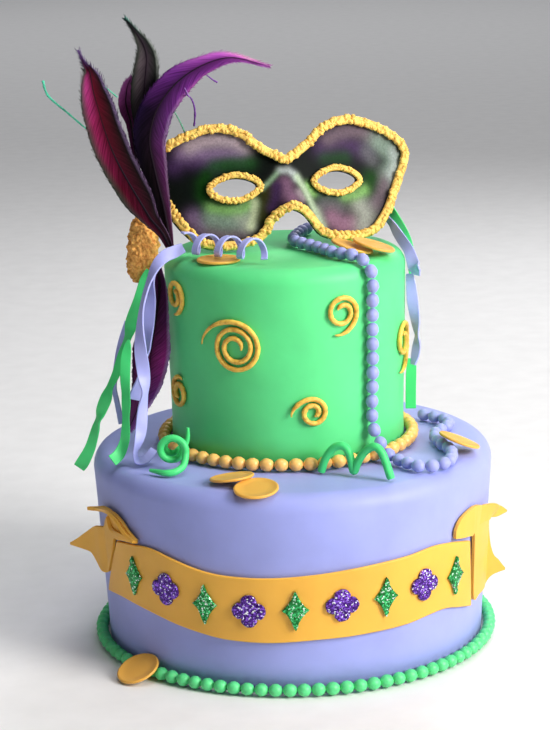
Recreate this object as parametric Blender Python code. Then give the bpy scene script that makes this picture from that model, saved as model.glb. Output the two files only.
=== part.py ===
"""A two-tier carnival cake with pearl borders, a banner, rolled swirls, a half mask and its trimmings."""

import math
import bpy
import bmesh
from mathutils import Matrix, Vector

MM = 0.001
GAP = 0.3

LOWER_FOOT, LOWER_HEAD, LOWER_HEIGHT, LOWER_ROUND = 127.0, 134.2, 132.0, 12.0
UPPER_FOOT, UPPER_HEAD, UPPER_HEIGHT, UPPER_ROUND = 78.0, 80.3, 130.0, 10.5
UPPER_X, UPPER_Y = -2.5, 4.0
UPPER_BASE = LOWER_HEIGHT + GAP
TOP = UPPER_BASE + UPPER_HEIGHT
LOWER_SEGMENTS, UPPER_SEGMENTS, ROUND_STEPS = 60, 52, 3

BEAD_SIDES = 5
NECK, BELLY = 0.52, 0.96
LOWER_BEAD, LOWER_BEADS = 4.4, 92
UPPER_BEAD, UPPER_BEADS = 4.5, 56
STRING_BEAD, STRING_PITCH = 4.0, 9.5

BAND_THICK, BAND_OFF = 2.2, 0.6
BAND_TOP_ENDS, BAND_BOTTOM_ENDS = (-59.0, 58.2), (-69.6, 61.4)
BAND_ROWS = (
    (-72, 43, 82), (-60, 46, 84.5), (-50, 45.7, 87.4), (-43, 43.8, 88.4), (-35, 40.7, 84.9),
    (-27, 37.9, 80.9), (-20, 35.9, 79), (-8, 35.3, 78.7), (5, 36.9, 80.6), (20, 38, 83.5),
    (33, 39.2, 85.5), (41, 41.4, 87.4), (47, 41.4, 86.2), (53, 38.2, 83.6), (64, 32.4, 78),
)
MOTIF_SPACING, MOTIF_COUNT = 12.6, 9
MOTIF_THICK = 1.6

ROPE = 1.65
SWIRL_CURVE = 1.4
COIN_RADIUS, COIN_THICK = 14.2, 1.8

MASK_X, MASK_Y, MASK_Z = 2.5, 2.0, TOP + 1.2
MASK_YAW, MASK_ROLL, MASK_LEAN = 15.0, 0.8, 15.0
MASK_SAG, MASK_HALF_WIDTH, MASK_THICK = 16.0, 80.0, 2.6
NOSE_HEIGHT, NOSE_WIDTH = 7.0, 11.0
EYE_U, EYE_V, EYE_HALF_U, EYE_HALF_V = 35.0, 41.5, 14.5, 6.2
EDGE_INSET, EDGE_HALF, EDGE_HIGH = 4.2, 4.0, 5.0
EYE_PIPE = 2.6
MASK_HALF = (
    (0.0, 61.5), (13.0, 69.5), (27.0, 81.0), (46.0, 86.0), (69.0, 80.5), (88.0, 69.5), (93.5, 56.0),
    (83.5, 35.0), (72.5, 15.5), (58.0, 2.3), (36.0, 0.0), (19.0, 4.5), (8.5, 17.5), (0.0, 22.0),
)

GREEN, LAVENDER = (0.10, 0.72, 0.22), (0.36, 0.38, 0.78)
GOLD, BAND_GOLD = (0.83, 0.46, 0.08), (0.86, 0.45, 0.05)
GLITTER_GREEN, GLITTER_PURPLE = (0.02, 0.32, 0.06), (0.12, 0.02, 0.35)
MASK_DARK, PLUM, BURGUNDY = (0.03, 0.05, 0.03), (0.16, 0.03, 0.25), (0.25, 0.01, 0.08)
DARK, TEAL = (0.03, 0.03, 0.03), (0.05, 0.35, 0.25)

for old in list(bpy.data.objects):
    bpy.data.objects.remove(old)

cake = bpy.data.objects.new("cake", None)
bpy.context.scene.collection.objects.link(cake)


def finish(name, bm, colour, roughness=0.5, metallic=0.0, matrix=None):
    """Turn a bmesh in millimetres into an object with its own material."""
    bmesh.ops.recalc_face_normals(bm, faces=bm.faces[:])
    bmesh.ops.scale(bm, vec=(MM, MM, MM), verts=bm.verts[:])
    mesh = bpy.data.meshes.new(name)
    bm.to_mesh(mesh)
    bm.free()
    mesh.shade_smooth()
    mesh.set_sharp_from_angle(angle=math.radians(40))
    material = bpy.data.materials.new(name)
    material.use_nodes = True
    shader = material.node_tree.nodes["Principled BSDF"]
    shader.inputs["Base Color"].default_value = (*colour, 1.0)
    shader.inputs["Roughness"].default_value = roughness
    shader.inputs["Metallic"].default_value = metallic
    mesh.materials.append(material)
    obj = bpy.data.objects.new(name, mesh)
    bpy.context.scene.collection.objects.link(obj)
    obj.parent = cake
    if matrix is not None:
        obj.matrix_world = matrix
    return obj


def place(x, y, z, turn=0.0, tilt=0.0, roll=0.0):
    """A pose in millimetres and degrees: roll about Y, then tilt about X, then turn about Z."""
    turned = Matrix.Rotation(math.radians(turn), 4, "Z")
    tilted = Matrix.Rotation(math.radians(tilt), 4, "X")
    rolled = Matrix.Rotation(math.radians(roll), 4, "Y")
    return Matrix.Translation((x * MM, y * MM, z * MM)) @ turned @ tilted @ rolled


def smooth(p, q, r, s, t):
    """A value between q and r that also follows their neighbours p and s."""
    bend = (2 * p - 5 * q + 4 * r - s) * t**2 + (3 * q - p - 3 * r + s) * t**3
    return 0.5 * (2 * q + (r - p) * t + bend)


def spline(rows, steps):
    """Catmull-Rom through rows of numbers, with steps samples on each span."""
    result = []
    for i in range(len(rows) - 1):
        a, b, c, d = rows[max(i - 1, 0)], rows[i], rows[i + 1], rows[min(i + 2, len(rows) - 1)]
        for k in range(steps):
            t = k / steps
            result.append(tuple(smooth(p, q, r, s, t) for p, q, r, s in zip(a, b, c, d)))
    result.append(tuple(rows[-1]))
    return result


def loft(bm, rings, closed=False):
    """Skin a run of equal rings; an open run gets flat caps."""
    loops = [[bm.verts.new(p) for p in ring] for ring in rings]
    count = len(loops[0])
    spans = len(loops) if closed else len(loops) - 1
    for i in range(spans):
        a, b = loops[i], loops[(i + 1) % len(loops)]
        for k in range(count):
            n = (k + 1) % count
            bm.faces.new((a[k], a[n], b[n], b[k]))
    if not closed:
        bm.faces.new(loops[0][::-1])
        bm.faces.new(loops[-1])


def tangents(path, closed=False):
    count = len(path)
    result = []
    for i in range(count):
        before = path[(i - 1) % count] if closed else path[max(i - 1, 0)]
        after = path[(i + 1) % count] if closed else path[min(i + 1, count - 1)]
        result.append((Vector(after) - Vector(before)).normalized())
    return result


def tube_rings(path, radii, sides, closed=False, normal=None):
    """Round rings along a path; the frame follows the given normals, or is carried along."""
    along = tangents(path, closed)
    up = Vector((0.0, 0.0, 1.0)) if abs(along[0].z) < 0.9 else Vector((0.0, 1.0, 0.0))
    rings = []
    for i, point in enumerate(path):
        if normal is not None:
            up = Vector(normal(i))
        up = (up - along[i] * up.dot(along[i])).normalized()
        side = along[i].cross(up)
        ring = []
        for k in range(sides):
            angle = 2 * math.pi * (k + 0.5) / sides - math.pi / 2
            ring.append(Vector(point) + (side * math.cos(angle) + up * math.sin(angle)) * radii[i])
        rings.append(ring)
    return rings


def lathe(name, profile, segments, colour, roughness=0.5, matrix=None):
    """Turn a profile of (radius, height) about Z; both ends are closed flat."""
    bm = bmesh.new()
    rings = []
    for radius, height in profile:
        angles = [2 * math.pi * k / segments for k in range(segments)]
        rings.append([(radius * math.cos(a), radius * math.sin(a), height) for a in angles])
    loft(bm, rings)
    return finish(name, bm, colour, roughness, matrix=matrix)


def tier_profile(foot, head, height, rounding):
    profile = [(foot - 1.0, 0.0), (foot, 1.0)]
    for k in range(ROUND_STEPS + 1):
        angle = math.pi / 2 * k / ROUND_STEPS
        radius = head - rounding + rounding * math.cos(angle)
        profile.append((radius, height - rounding + rounding * math.sin(angle)))
    return profile


def lower_radius(z):
    return LOWER_FOOT + (LOWER_HEAD - LOWER_FOOT) * z / (LOWER_HEIGHT - LOWER_ROUND)


def upper_radius(z):
    return UPPER_FOOT + (UPPER_HEAD - UPPER_FOOT) * (z - UPPER_BASE) / (UPPER_HEIGHT - UPPER_ROUND)


def on_lower(azimuth, z, off):
    """A point off the lower tier's side; azimuth 0 is the front and grows to the right."""
    radius = min(lower_radius(z), LOWER_HEAD) + off
    angle = math.radians(azimuth)
    return (radius * math.sin(angle), -radius * math.cos(angle), z)


def on_upper(azimuth, z, off):
    radius = min(upper_radius(z), UPPER_HEAD) + off
    angle = math.radians(azimuth)
    return (UPPER_X + radius * math.sin(angle), UPPER_Y - radius * math.cos(angle), z)


def on_rim(azimuth, lift, off):
    """A point off the upper tier's rounded edge: lift 90 is its top, 0 its side."""
    up = math.radians(lift)
    radius = UPPER_HEAD - UPPER_ROUND + (UPPER_ROUND + off) * math.cos(up)
    angle = math.radians(azimuth)
    x, y = UPPER_X + radius * math.sin(angle), UPPER_Y - radius * math.cos(angle)
    return (x, y, TOP - UPPER_ROUND + (UPPER_ROUND + off) * math.sin(up))


lathe("lower_tier", tier_profile(LOWER_FOOT, LOWER_HEAD, LOWER_HEIGHT, LOWER_ROUND), LOWER_SEGMENTS, LAVENDER)
lathe(
    "upper_tier", tier_profile(UPPER_FOOT, UPPER_HEAD, UPPER_HEIGHT, UPPER_ROUND), UPPER_SEGMENTS, GREEN,
    matrix=place(UPPER_X, UPPER_Y, UPPER_BASE),
)


def bead_border(name, x, y, z, radius, bead, count, colour, roughness):
    """A closed ring of fused pearls: each has a neck and two belly rings."""
    path, radii = [], []
    for i in range(count):
        for part, size in ((0.0, NECK), (0.27, BELLY), (0.73, BELLY)):
            angle = 2 * math.pi * (i + part) / count
            path.append((x + radius * math.cos(angle), y + radius * math.sin(angle), z))
            radii.append(bead * size)
    bm = bmesh.new()
    loft(bm, tube_rings(path, radii, BEAD_SIDES, closed=True, normal=lambda i: (0.0, 0.0, 1.0)), closed=True)
    return finish(name, bm, colour, roughness)


bead_border(
    "lower_bead_border", 0.0, 0.0, LOWER_BEAD * BELLY, LOWER_FOOT + 1.0 + GAP + LOWER_BEAD, LOWER_BEAD,
    LOWER_BEADS, GREEN, 0.45,
)
bead_border(
    "upper_bead_border", UPPER_X, UPPER_Y, LOWER_HEIGHT + GAP + UPPER_BEAD * BELLY,
    UPPER_FOOT + 1.0 + GAP + UPPER_BEAD, UPPER_BEAD, UPPER_BEADS, GOLD, 0.35,
)


def bead_string(name, route, bead, pitch, colour):
    """A loose string of fused pearls laid along a route."""
    fine = spline(route, 12)
    lengths = [0.0]
    for a, b in zip(fine, fine[1:]):
        lengths.append(lengths[-1] + (Vector(b) - Vector(a)).length)

    def at(distance):
        for i in range(1, len(fine)):
            if lengths[i] >= distance:
                t = (distance - lengths[i - 1]) / max(lengths[i] - lengths[i - 1], 1e-9)
                return Vector(fine[i - 1]).lerp(Vector(fine[i]), t)
        return Vector(fine[-1])

    count = round(lengths[-1] / pitch)
    step = lengths[-1] / count
    path, radii = [], []
    for i in range(count):
        for part, size in ((0.0, NECK), (0.27, BELLY), (0.73, BELLY)):
            path.append(at((i + part) * step))
            radii.append(bead * size)
    path.append(at(lengths[-1]))
    radii.append(bead * NECK)
    bm = bmesh.new()
    loft(bm, tube_rings(path, radii, BEAD_SIDES))
    return finish(name, bm, colour, 0.45)


STRING_TOP = TOP + GAP + STRING_BEAD
STRING_LOW = LOWER_HEIGHT + GAP + STRING_BEAD
bead_string(
    "bead_string",
    [
        (13.0, 52.0, STRING_TOP), (7.5, 36.0, STRING_TOP), (3.6, 11.0, STRING_TOP), (9.4, -3.0, STRING_TOP),
        (15.8, -13.0, STRING_TOP), (21.3, -22.6, STRING_TOP), (27.4, -34.6, STRING_TOP),
        (33.6, -42.4, STRING_TOP),
        on_rim(38.8, 80.0, 4.7), on_rim(40.3, 45.0, 4.7), on_rim(41.0, 8.0, 4.7),
        on_upper(41.0, TOP - 28.0, 4.6),
        on_upper(41.2, UPPER_BASE + 60.0, 4.6), on_upper(41.0, UPPER_BASE + 26.0, 5.0),
        on_upper(41.4, UPPER_BASE + 12.0, 13.2), (64.0, -65.5, STRING_LOW + 0.4), (70.0, -73.5, STRING_LOW),
        (76.4, -82.6, STRING_LOW), (83.0, -87.5, STRING_LOW), (92.0, -84.5, STRING_LOW),
        (99.5, -77.0, STRING_LOW),
        (103.4, -61.0, STRING_LOW), (102.4, -46.0, STRING_LOW), (98.0, -33.0, STRING_LOW),
        (95.2, -17.0, STRING_LOW), (97.0, -5.0, STRING_LOW), (103.0, 5.0, STRING_LOW),
        (106.9, 16.0, STRING_LOW),
        (105.0, 27.5, STRING_LOW), (99.0, 34.0, STRING_LOW), (92.5, 40.0, STRING_LOW),
        (86.0, 49.0, STRING_LOW),
    ],
    STRING_BEAD, STRING_PITCH, LAVENDER,
)


def band_edge(azimuth, column):
    """Height of the banner's bottom (1) or top (2) edge, smoothed through its rows."""
    last = len(BAND_ROWS) - 1
    i = 0
    while i < last - 1 and BAND_ROWS[i + 1][0] < azimuth:
        i += 1
    t = (azimuth - BAND_ROWS[i][0]) / (BAND_ROWS[i + 1][0] - BAND_ROWS[i][0])
    p, q = BAND_ROWS[max(i - 1, 0)][column], BAND_ROWS[i][column]
    r, s = BAND_ROWS[i + 1][column], BAND_ROWS[min(i + 2, last)][column]
    return smooth(p, q, r, s, t)


def band(name):
    """The banner's front: a strip round the lower tier whose ends are cut on a slant."""
    bm = bmesh.new()
    rings = []
    stations = 24
    inner, outer = BAND_OFF, BAND_OFF + BAND_THICK
    for i in range(stations + 1):
        t = i / stations
        low = BAND_BOTTOM_ENDS[0] + (BAND_BOTTOM_ENDS[1] - BAND_BOTTOM_ENDS[0]) * t
        high = BAND_TOP_ENDS[0] + (BAND_TOP_ENDS[1] - BAND_TOP_ENDS[0]) * t
        bottom, top = band_edge(low, 1), band_edge(high, 2)
        ring = []
        for part, off in ((0.0, inner), (0.0, outer), (0.5, outer), (1.0, outer), (1.0, inner), (0.5, inner)):
            ring.append(on_lower(low + (high - low) * part, bottom + (top - bottom) * part, off))
        rings.append(ring)
    loft(bm, rings)
    return finish(name, bm, BAND_GOLD, 0.5)


band("banner_band")


def strip(name, rows, thick, colour, steps=2, leaf=False, roughness=0.5):
    """A flat strip along rows of (x, y, z, width, twist); a leaf is thin at both edges."""
    samples = spline(rows, steps)
    path = [s[:3] for s in samples]
    along = tangents(path)
    rings = []
    for sample, point, ahead in zip(samples, path, along):
        base = ahead.cross(Vector((0.0, 1.0, 0.0)))
        if base.length < 0.2:
            base = ahead.cross(Vector((0.0, 0.0, 1.0)))
        base.normalize()
        across = Matrix.Rotation(math.radians(sample[4]), 3, ahead) @ base
        normal = ahead.cross(across).normalized()
        half, deep = max(sample[3], 0.8) / 2, thick / 2
        centre = Vector(point)
        if leaf:
            ring = [
                centre - across * half, centre - normal * deep,
                centre + across * half, centre + normal * deep,
            ]
        else:
            ring = [
                centre - across * half - normal * deep, centre + across * half - normal * deep,
                centre + across * half + normal * deep, centre - across * half + normal * deep,
            ]
        rings.append(ring)
    bm = bmesh.new()
    loft(bm, rings)
    return finish(name, bm, colour, roughness)


def coil(name, route, radius, sides, colour, roughness=0.5, ends=0.45):
    """A round rope along a route, thinned at both ends."""
    bm = bmesh.new()
    count = len(route)
    radii = [radius * min(1.0, ends + 3.5 * min(i, count - 1 - i) / count) for i in range(count)]
    loft(bm, tube_rings(route, radii, sides))
    return finish(name, bm, colour, roughness)


SWIRLS = (
    ("swirl_large", -23.8, 212.0, 16.6, 4.0, 9.0, 180.0, -920.0, 34),
    ("swirl_high_right", 26.3, 233.5, 10.9, 3.6, 4.4, -110.0, 620.0, 22),
    ("swirl_low_front", 11.8, 169.5, 9.3, 2.4, 5.0, 188.0, -620.0, 22),
    ("swirl_high_left", -61.6, 239.5, 9.8, 3.2, 3.0, -100.0, 560.0, 18),
    ("swirl_low_left", -62.6, 174.3, 9.8, 3.2, 1.5, 60.0, 560.0, 18),
    ("swirl_right", 73.5, 203.4, 13.4, 3.6, 8.5, -112.0, 580.0, 20),
    ("swirl_back_right", 128.0, 175.0, 10.3, 3.6, 4.4, 180.0, -600.0, 18),
    ("swirl_back", 178.0, 215.0, 13.5, 3.8, 7.0, -100.0, 640.0, 22),
    ("swirl_back_left", -128.0, 180.0, 10.0, 3.4, 4.0, 190.0, -600.0, 18),
)
for name, azimuth, height, outer, inner, tail, start, sweep, count in SWIRLS:
    route = []
    for i in range(count + 1):
        t = i / count
        turned = abs(sweep) * t
        radius = outer + (inner - outer) * t**SWIRL_CURVE + tail * math.exp(-((turned / 45.0) ** 1.5))
        angle = math.radians(start + sweep * t)
        shift = math.degrees(radius * math.cos(angle) / UPPER_HEAD)
        route.append(on_upper(azimuth + shift, height + radius * math.sin(angle), GAP + ROPE + 0.15))
    coil(name, route, ROPE, 4, GOLD, 0.35)


def bent_plate(name, outline, thick, cuts, shape, colour, roughness=0.5, holes=()):
    """A flat plate with holes, cut along grid lines and then laid on a shape(u, v, w)."""
    bm = bmesh.new()
    edges = []
    for loop in (outline, *holes):
        verts = [bm.verts.new((u, v, 0.0)) for u, v in loop]
        edges += [bm.edges.new((verts[i], verts[(i + 1) % len(verts)])) for i in range(len(verts))]
    filled = bmesh.ops.triangle_fill(bm, edges=edges, use_beauty=True, use_dissolve=False)
    faces = [g for g in filled["geom"] if isinstance(g, bmesh.types.BMFace)]
    pushed = bmesh.ops.extrude_face_region(bm, geom=faces, use_keep_orig=True)
    moved = [g for g in pushed["geom"] if isinstance(g, bmesh.types.BMVert)]
    bmesh.ops.translate(bm, vec=(0.0, 0.0, thick), verts=moved)
    for axis, value in cuts:
        point = (value, 0.0, 0.0) if axis == "u" else (0.0, value, 0.0)
        facing = (1.0, 0.0, 0.0) if axis == "u" else (0.0, 1.0, 0.0)
        everything = bm.verts[:] + bm.edges[:] + bm.faces[:]
        bmesh.ops.bisect_plane(bm, geom=everything, dist=1e-4, plane_co=point, plane_no=facing)
    bmesh.ops.triangulate(bm, faces=bm.faces[:])
    for vert in bm.verts:
        vert.co = shape(vert.co.x, vert.co.y, vert.co.z)
    return finish(name, bm, colour, roughness)


yaw, roll, lean = (math.radians(a) for a in (MASK_YAW, MASK_ROLL, MASK_LEAN))
MASK_FRAME = (
    Matrix.Translation((MASK_X, MASK_Y, MASK_Z))
    @ Matrix.Rotation(yaw, 4, "Z")
    @ Matrix.Rotation(-lean, 4, "X")
    @ Matrix.Rotation(-roll, 4, "Y") @ Matrix(((1, 0, 0, 0), (0, 0, -1, 0), (0, 1, 0, 0), (0, 0, 0, 1)))
)


def mask_depth(u, v):
    nose = NOSE_HEIGHT * math.exp(-((u / NOSE_WIDTH) ** 2)) * max(0.0, min(1.0, (66.0 - v) / 36.0))
    return nose - MASK_SAG * (u / MASK_HALF_WIDTH) ** 2


def mask_shape(u, v, w):
    return MASK_FRAME @ Vector((u, v, w + mask_depth(u, v)))


def mask_outline(steps):
    half = spline(MASK_HALF, steps)
    return half + [(-u, v) for u, v in reversed(half[1:-1])]


def inset(loop, distance):
    """Move a clockwise loop inward by a distance."""
    result = []
    count = len(loop)
    for i in range(count):
        before, after = Vector(loop[i - 1]), Vector(loop[(i + 1) % count])
        ahead = (after - before).normalized()
        result.append((loop[i][0] + ahead.y * distance, loop[i][1] - ahead.x * distance))
    return result


def eye_loop(side, half_u, half_v, count, phase=0.0):
    """An almond with pointed corners."""
    loop = []
    for k in range(count):
        angle = 2 * math.pi * k / count + phase
        across, high = math.cos(angle), math.sin(angle)
        loop.append((side * EYE_U + half_u * across, EYE_V + half_v * high * (1.0 - 0.25 * across**2)))
    return loop


MASK_COLUMNS = [("u", float(u)) for u in (-66, -45, -24, -12, -5, 5, 12, 24, 45, 66)]
MASK_ROWS = [("v", float(v)) for v in (30, 62)]
bent_plate(
    "mask_shell", inset(mask_outline(2), 1.6), MASK_THICK, MASK_COLUMNS + MASK_ROWS, mask_shape,
    MASK_DARK, 0.4,
    holes=[eye_loop(side, EYE_HALF_U, EYE_HALF_V, 12) for side in (-1, 1)],
)


def piping(name, loop, half, high, colour):
    """A flat-backed bead of piping round a loop on the mask's front."""
    rings = []
    count = len(loop)
    for i in range(count):
        before, after = Vector(loop[i - 1]), Vector(loop[(i + 1) % count])
        ahead = (after - before).normalized()
        side = Vector((ahead.y, -ahead.x))
        lift = MASK_THICK + 0.9
        ring = []
        for across, up in ((-1.0, 0.0), (-0.95, 0.55), (0.0, 1.0), (0.95, 0.55), (1.0, 0.0)):
            u, v = loop[i][0] + side.x * across * half, loop[i][1] + side.y * across * half
            ring.append(mask_shape(u, v, lift + high * up))
        rings.append(ring)
    bm = bmesh.new()
    loft(bm, rings, closed=True)
    return finish(name, bm, colour, 0.55)


piping("mask_edge_piping", inset(mask_outline(2), EDGE_INSET), EDGE_HALF, EDGE_HIGH, GOLD)
for name, side in (("mask_left_eye_piping", -1), ("mask_right_eye_piping", 1)):
    piping(name, eye_loop(side, EYE_HALF_U + 2.4, EYE_HALF_V + 2.2, 16), EYE_PIPE, 4.0, GOLD)


FEATHER_THICK = 1.2
strip(
    "feather_burgundy",
    [
        (-77.6, -21, 269.8, 5, 0), (-82, -20, 278.9, 7, 0), (-88.9, -19, 287.5, 11, 0),
        (-95.4, -18, 298.6, 19, 0), (-102.5, -16, 310.9, 21.5, 0), (-109, -14, 323.2, 22.6, 0),
        (-114.2, -13, 335.6, 23.5, 0), (-118.4, -11, 348.4, 22.4, 0), (-121.2, -10, 359.3, 21.5, 0),
        (-123.9, -8, 369.5, 17.5, 0), (-125.3, -6, 378.4, 12, 0), (-126.5, -5, 383.4, 6, 0),
        (-130, -3, 388.2, 2.4, 0), (-133.4, -1, 396.1, 0.8, 0),
    ],
    FEATHER_THICK, BURGUNDY, steps=1, leaf=True,
)
strip(
    "feather_purple",
    [
        (-76.9, -11, 267.9, 4, 0), (-79.1, -9, 282.3, 6.7, 0), (-81.4, -8, 296, 9.5, 0),
        (-84.2, -8, 308.7, 13.5, 0), (-87.3, -8, 324.5, 18.5, 0), (-88.8, -8, 336.3, 21, 0),
        (-87.1, -8, 347.3, 22.7, 0), (-82.9, -7, 358.2, 22, 0), (-75.8, -6, 368.3, 20.7, 0),
        (-66.6, -4, 376.9, 18.5, 0), (-55.4, -2, 383.6, 13, 0), (-43.7, 0, 387.8, 9.5, 0),
        (-34.6, 2, 388.8, 6, 0), (-25.6, 3, 387.3, 3, 0), (-17.2, 4, 384.6, 2, 0),
        (-9.5, 5, 382.3, 0.8, 0),
    ],
    FEATHER_THICK, PLUM, steps=1, leaf=True,
)
strip(
    "feather_dark",
    [
        (-81.1, -3, 271.9, 4, 0), (-83.7, -3, 294, 6, 0), (-89.4, -3, 317.2, 8, 0),
        (-92.4, -2, 336.9, 10, 0), (-92.9, 0, 354.9, 14.7, 0), (-91.8, 2, 369, 17.3, 0),
        (-90.2, 4, 381.8, 16.7, 0), (-89.7, 6, 390.6, 13.3, 0), (-91.8, 8, 398.2, 8.7, 0),
        (-96.6, 10, 405.9, 4, 0), (-101.3, 11, 412.4, 1.6, 0), (-103.6, 12, 415, 0.8, 0),
    ],
    FEATHER_THICK, DARK, steps=1, leaf=True,
)
strip(
    "feather_pink",
    [
        (-98.4, 12, 312, 3.4, 0), (-99.8, 11, 329.7, 5, 0), (-101.6, 9.5, 346.8, 7, 0),
        (-103.3, 8.5, 353.9, 9.5, 0), (-104.4, 8.5, 360.3, 10, 0), (-104, 9, 366.1, 8.5, 0),
        (-102.5, 9, 372.5, 6, 0), (-99.8, 10, 377.5, 1.2, 0),
    ],
    FEATHER_THICK, PLUM, steps=1, leaf=True,
)
strip(
    "feather_hanging",
    [
        (-85.3, -21, 255.3, 5, 0), (-84.6, -22, 244.2, 9, 0), (-86, -23.5, 231.2, 14, 0),
        (-88.7, -25, 216.2, 20, 0), (-91.1, -25.5, 202.2, 25, 0), (-92.9, -26, 189.5, 23, 0),
        (-95.5, -27, 177.6, 19, 0), (-100.4, -29, 165.3, 13, 0), (-106, -31, 153, 8, 0),
        (-109.5, -32, 146.5, 2, 0),
    ],
    FEATHER_THICK, PLUM, steps=1, leaf=True,
)
strip(
    "feather_wisp",
    [
        (-118, 6, 333, 1.6, 0), (-132, 6, 345, 1.6, 0), (-143, 6, 355, 1.8, 0), (-155, 7, 366, 2, 0),
        (-158, 7, 376, 1.2, 0),
    ],
    1.4, TEAL, steps=2, leaf=True,
)

RIBBON_THICK = 1.3
strip(
    "ribbon_lavender_left",
    [
        (-68, -27, 269.6, 6.5, 15), (-73.5, -30, 267.6, 8, 10), (-80, -33, 265.2, 8, 14),
        (-85.6, -35.5, 259.6, 7.5, 40), (-90, -38, 250.8, 8, 68), (-93.1, -41, 242.3, 8, 72),
        (-95.5, -44, 232.4, 8, 70), (-96.8, -46, 219.7, 8, 50),
        (-96.8, -48, 206.9, 8.6, 20), (-95.5, -50, 195.4, 8.6, 0), (-94.7, -52, 186.5, 8.2, -35),
        (-94.5, -54, 179.7, 8, -66), (-96.2, -56, 170.2, 7.5, -40), (-97.4, -59, 157.6, 7.5, -15),
        (-99.3, -62, 149.1, 7, -40), (-101.6, -62.5, 142, 6, -65), (-100.4, -61.5, 136.6, 6, -60),
        (-95, -58, 136.6, 6, -30), (-90, -53, 141.5, 5, -20),
    ],
    RIBBON_THICK, LAVENDER, steps=1,
)
strip(
    "ribbon_lavender_short",
    [
        (-87.4, -29, 256.3, 6, 55), (-89, -30, 247.9, 6, 60), (-90.2, -32, 236.4, 8, 30),
        (-91.8, -34, 223.8, 8.6, 20), (-92.7, -35, 210.9, 8, 50), (-93, -35, 203.1, 8, 75),
        (-95.5, -35.5, 194, 8, 105), (-98.8, -36, 183.6, 8, 125), (-101.3, -36, 175.8, 8.6, 150),
        (-103, -36, 170.7, 8.8, 170),
    ],
    RIBBON_THICK, LAVENDER,
)
strip(
    "ribbon_green_long",
    [
        (-91.6, -15, 253, 4, 0), (-95.3, -17, 246.8, 5, 0), (-99, -20, 234.1, 6.5, 0),
        (-103.3, -20, 221.2, 8.4, 0), (-106.8, -21, 208.9, 8, 60), (-111, -22, 197.8, 7, 45),
        (-115, -24, 185.9, 6, 30), (-119.3, -26, 177.4, 6, 50), (-122.4, -27, 169.3, 8, 10),
        (-125.6, -26, 161.6, 7.5, 20), (-128.2, -25, 154.6, 7, 65), (-130.6, -24, 146.8, 6.4, 30),
        (-134.6, -22, 134.6, 7.2, 10), (-139.8, -21, 124.8, 8.6, 0), (-142.7, -20, 120.7, 8, 0),
    ],
    RIBBON_THICK, GREEN, steps=1,
)
strip(
    "ribbon_green_short",
    [
        (-106.5, -30, 205.3, 5, 20), (-107.9, -33, 196.4, 6.8, 0), (-108.3, -37, 185.3, 6.6, 0),
        (-108, -40, 176.6, 6, 20), (-107.9, -43, 169.2, 6, 10), (-108.1, -46, 160.8, 5, 20),
        (-108.4, -50, 152.1, 6, 0), (-109.3, -54, 146.4, 6.4, 0), (-112.5, -58, 140, 7.6, 0),
        (-116.9, -61, 136.6, 8, 0),
    ],
    RIBBON_THICK, GREEN, steps=1,
)
strip(
    "ribbon_lavender_back",
    [
        (-107.1, -10, 217.3, 5, 30), (-112.4, -9, 201.5, 5, 20), (-115.9, -9, 185.9, 4.5, 20),
        (-118.1, -9, 173.6, 4, 30), (-116.3, -11, 163, 4, 30), (-113.7, -14, 148.6, 4.5, 30),
    ],
    RIBBON_THICK, LAVENDER,
)
strip(
    "ribbon_lavender_right",
    [
        (60.4, 46, 277.4, 6, 60), (65.6, 41.6, 275.6, 6, 50), (69.4, 35, 272.6, 6, 40),
        (72.2, 20, 269.4, 7, 25), (75.6, 7, 265.5, 7, 10), (79.4, -3, 260.5, 7, 5),
        (81.4, -11, 254.6, 8, 10), (82.8, -15, 250.7, 9, 30), (85.9, -18, 247.9, 7, 60),
    ],
    RIBBON_THICK, LAVENDER, steps=1,
)
strip(
    "ribbon_green_back_right",
    [
        (61.7, 54, 288, 6, 40), (66.1, 50, 284.4, 6.4, 30), (69.8, 43, 279.8, 6.4, 20),
        (73.4, 34, 274.6, 6.4, 15),
        (76.7, 23, 269.4, 6.4, 10), (79.4, 12, 263, 6.4, 0), (81.4, 1, 252.4, 6, 0),
        (82.2, -3, 243.6, 5, 0),
    ],
    RIBBON_THICK, GREEN, steps=1,
)
strip(
    "ribbon_twisted_right",
    [
        (79.4, -12, 246.4, 5, 20), (80.3, -12, 238.8, 6.5, 10), (81.2, -13, 228.9, 7.5, 5),
        (82.7, -14, 216.9, 7, 30), (83.4, -15, 209.7, 7, 60), (83.8, -16, 204.9, 7, 75),
        (83.4, -17, 198.4, 6.5, 40), (82.3, -18, 191.9, 6, 35), (80.8, -19, 186.5, 5, 60),
    ],
    RIBBON_THICK, LAVENDER, steps=1,
)
strip(
    "ribbon_green_low_right",
    [
        (80.9, -5, 187.5, 6, 0), (80.3, -6, 176.5, 7, 0), (80, -6, 166.2, 7, 0),
        (79.9, -6.5, 153.4, 7, 0),
    ],
    RIBBON_THICK, GREEN,
)

TAIL_THICK = 2.2


def wall(name, rows, thick, colour, steps=2):
    """An upright strip of fondant: rows of (x, y, bottom, top) along its foot."""
    samples = spline(rows, steps)
    plan = [(s[0], s[1], 0.0) for s in samples]
    side = 1.0 if rows[0][0] > 0 else -1.0
    rings = []
    for sample, ahead in zip(samples, tangents(plan)):
        outward = Vector((ahead.y, -ahead.x, 0.0)) * side
        foot = Vector((sample[0], sample[1], 0.0))
        ring = []
        for z, off in ((sample[2], 0.0), (sample[2], thick), (sample[3], thick), (sample[3], 0.0)):
            spread = (lower_radius(z) - lower_radius(60.0)) + off
            ring.append(foot + outward * spread + Vector((0.0, 0.0, z)))
        rings.append(ring)
    bm = bmesh.new()
    loft(bm, rings)
    return finish(name, bm, colour)


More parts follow.
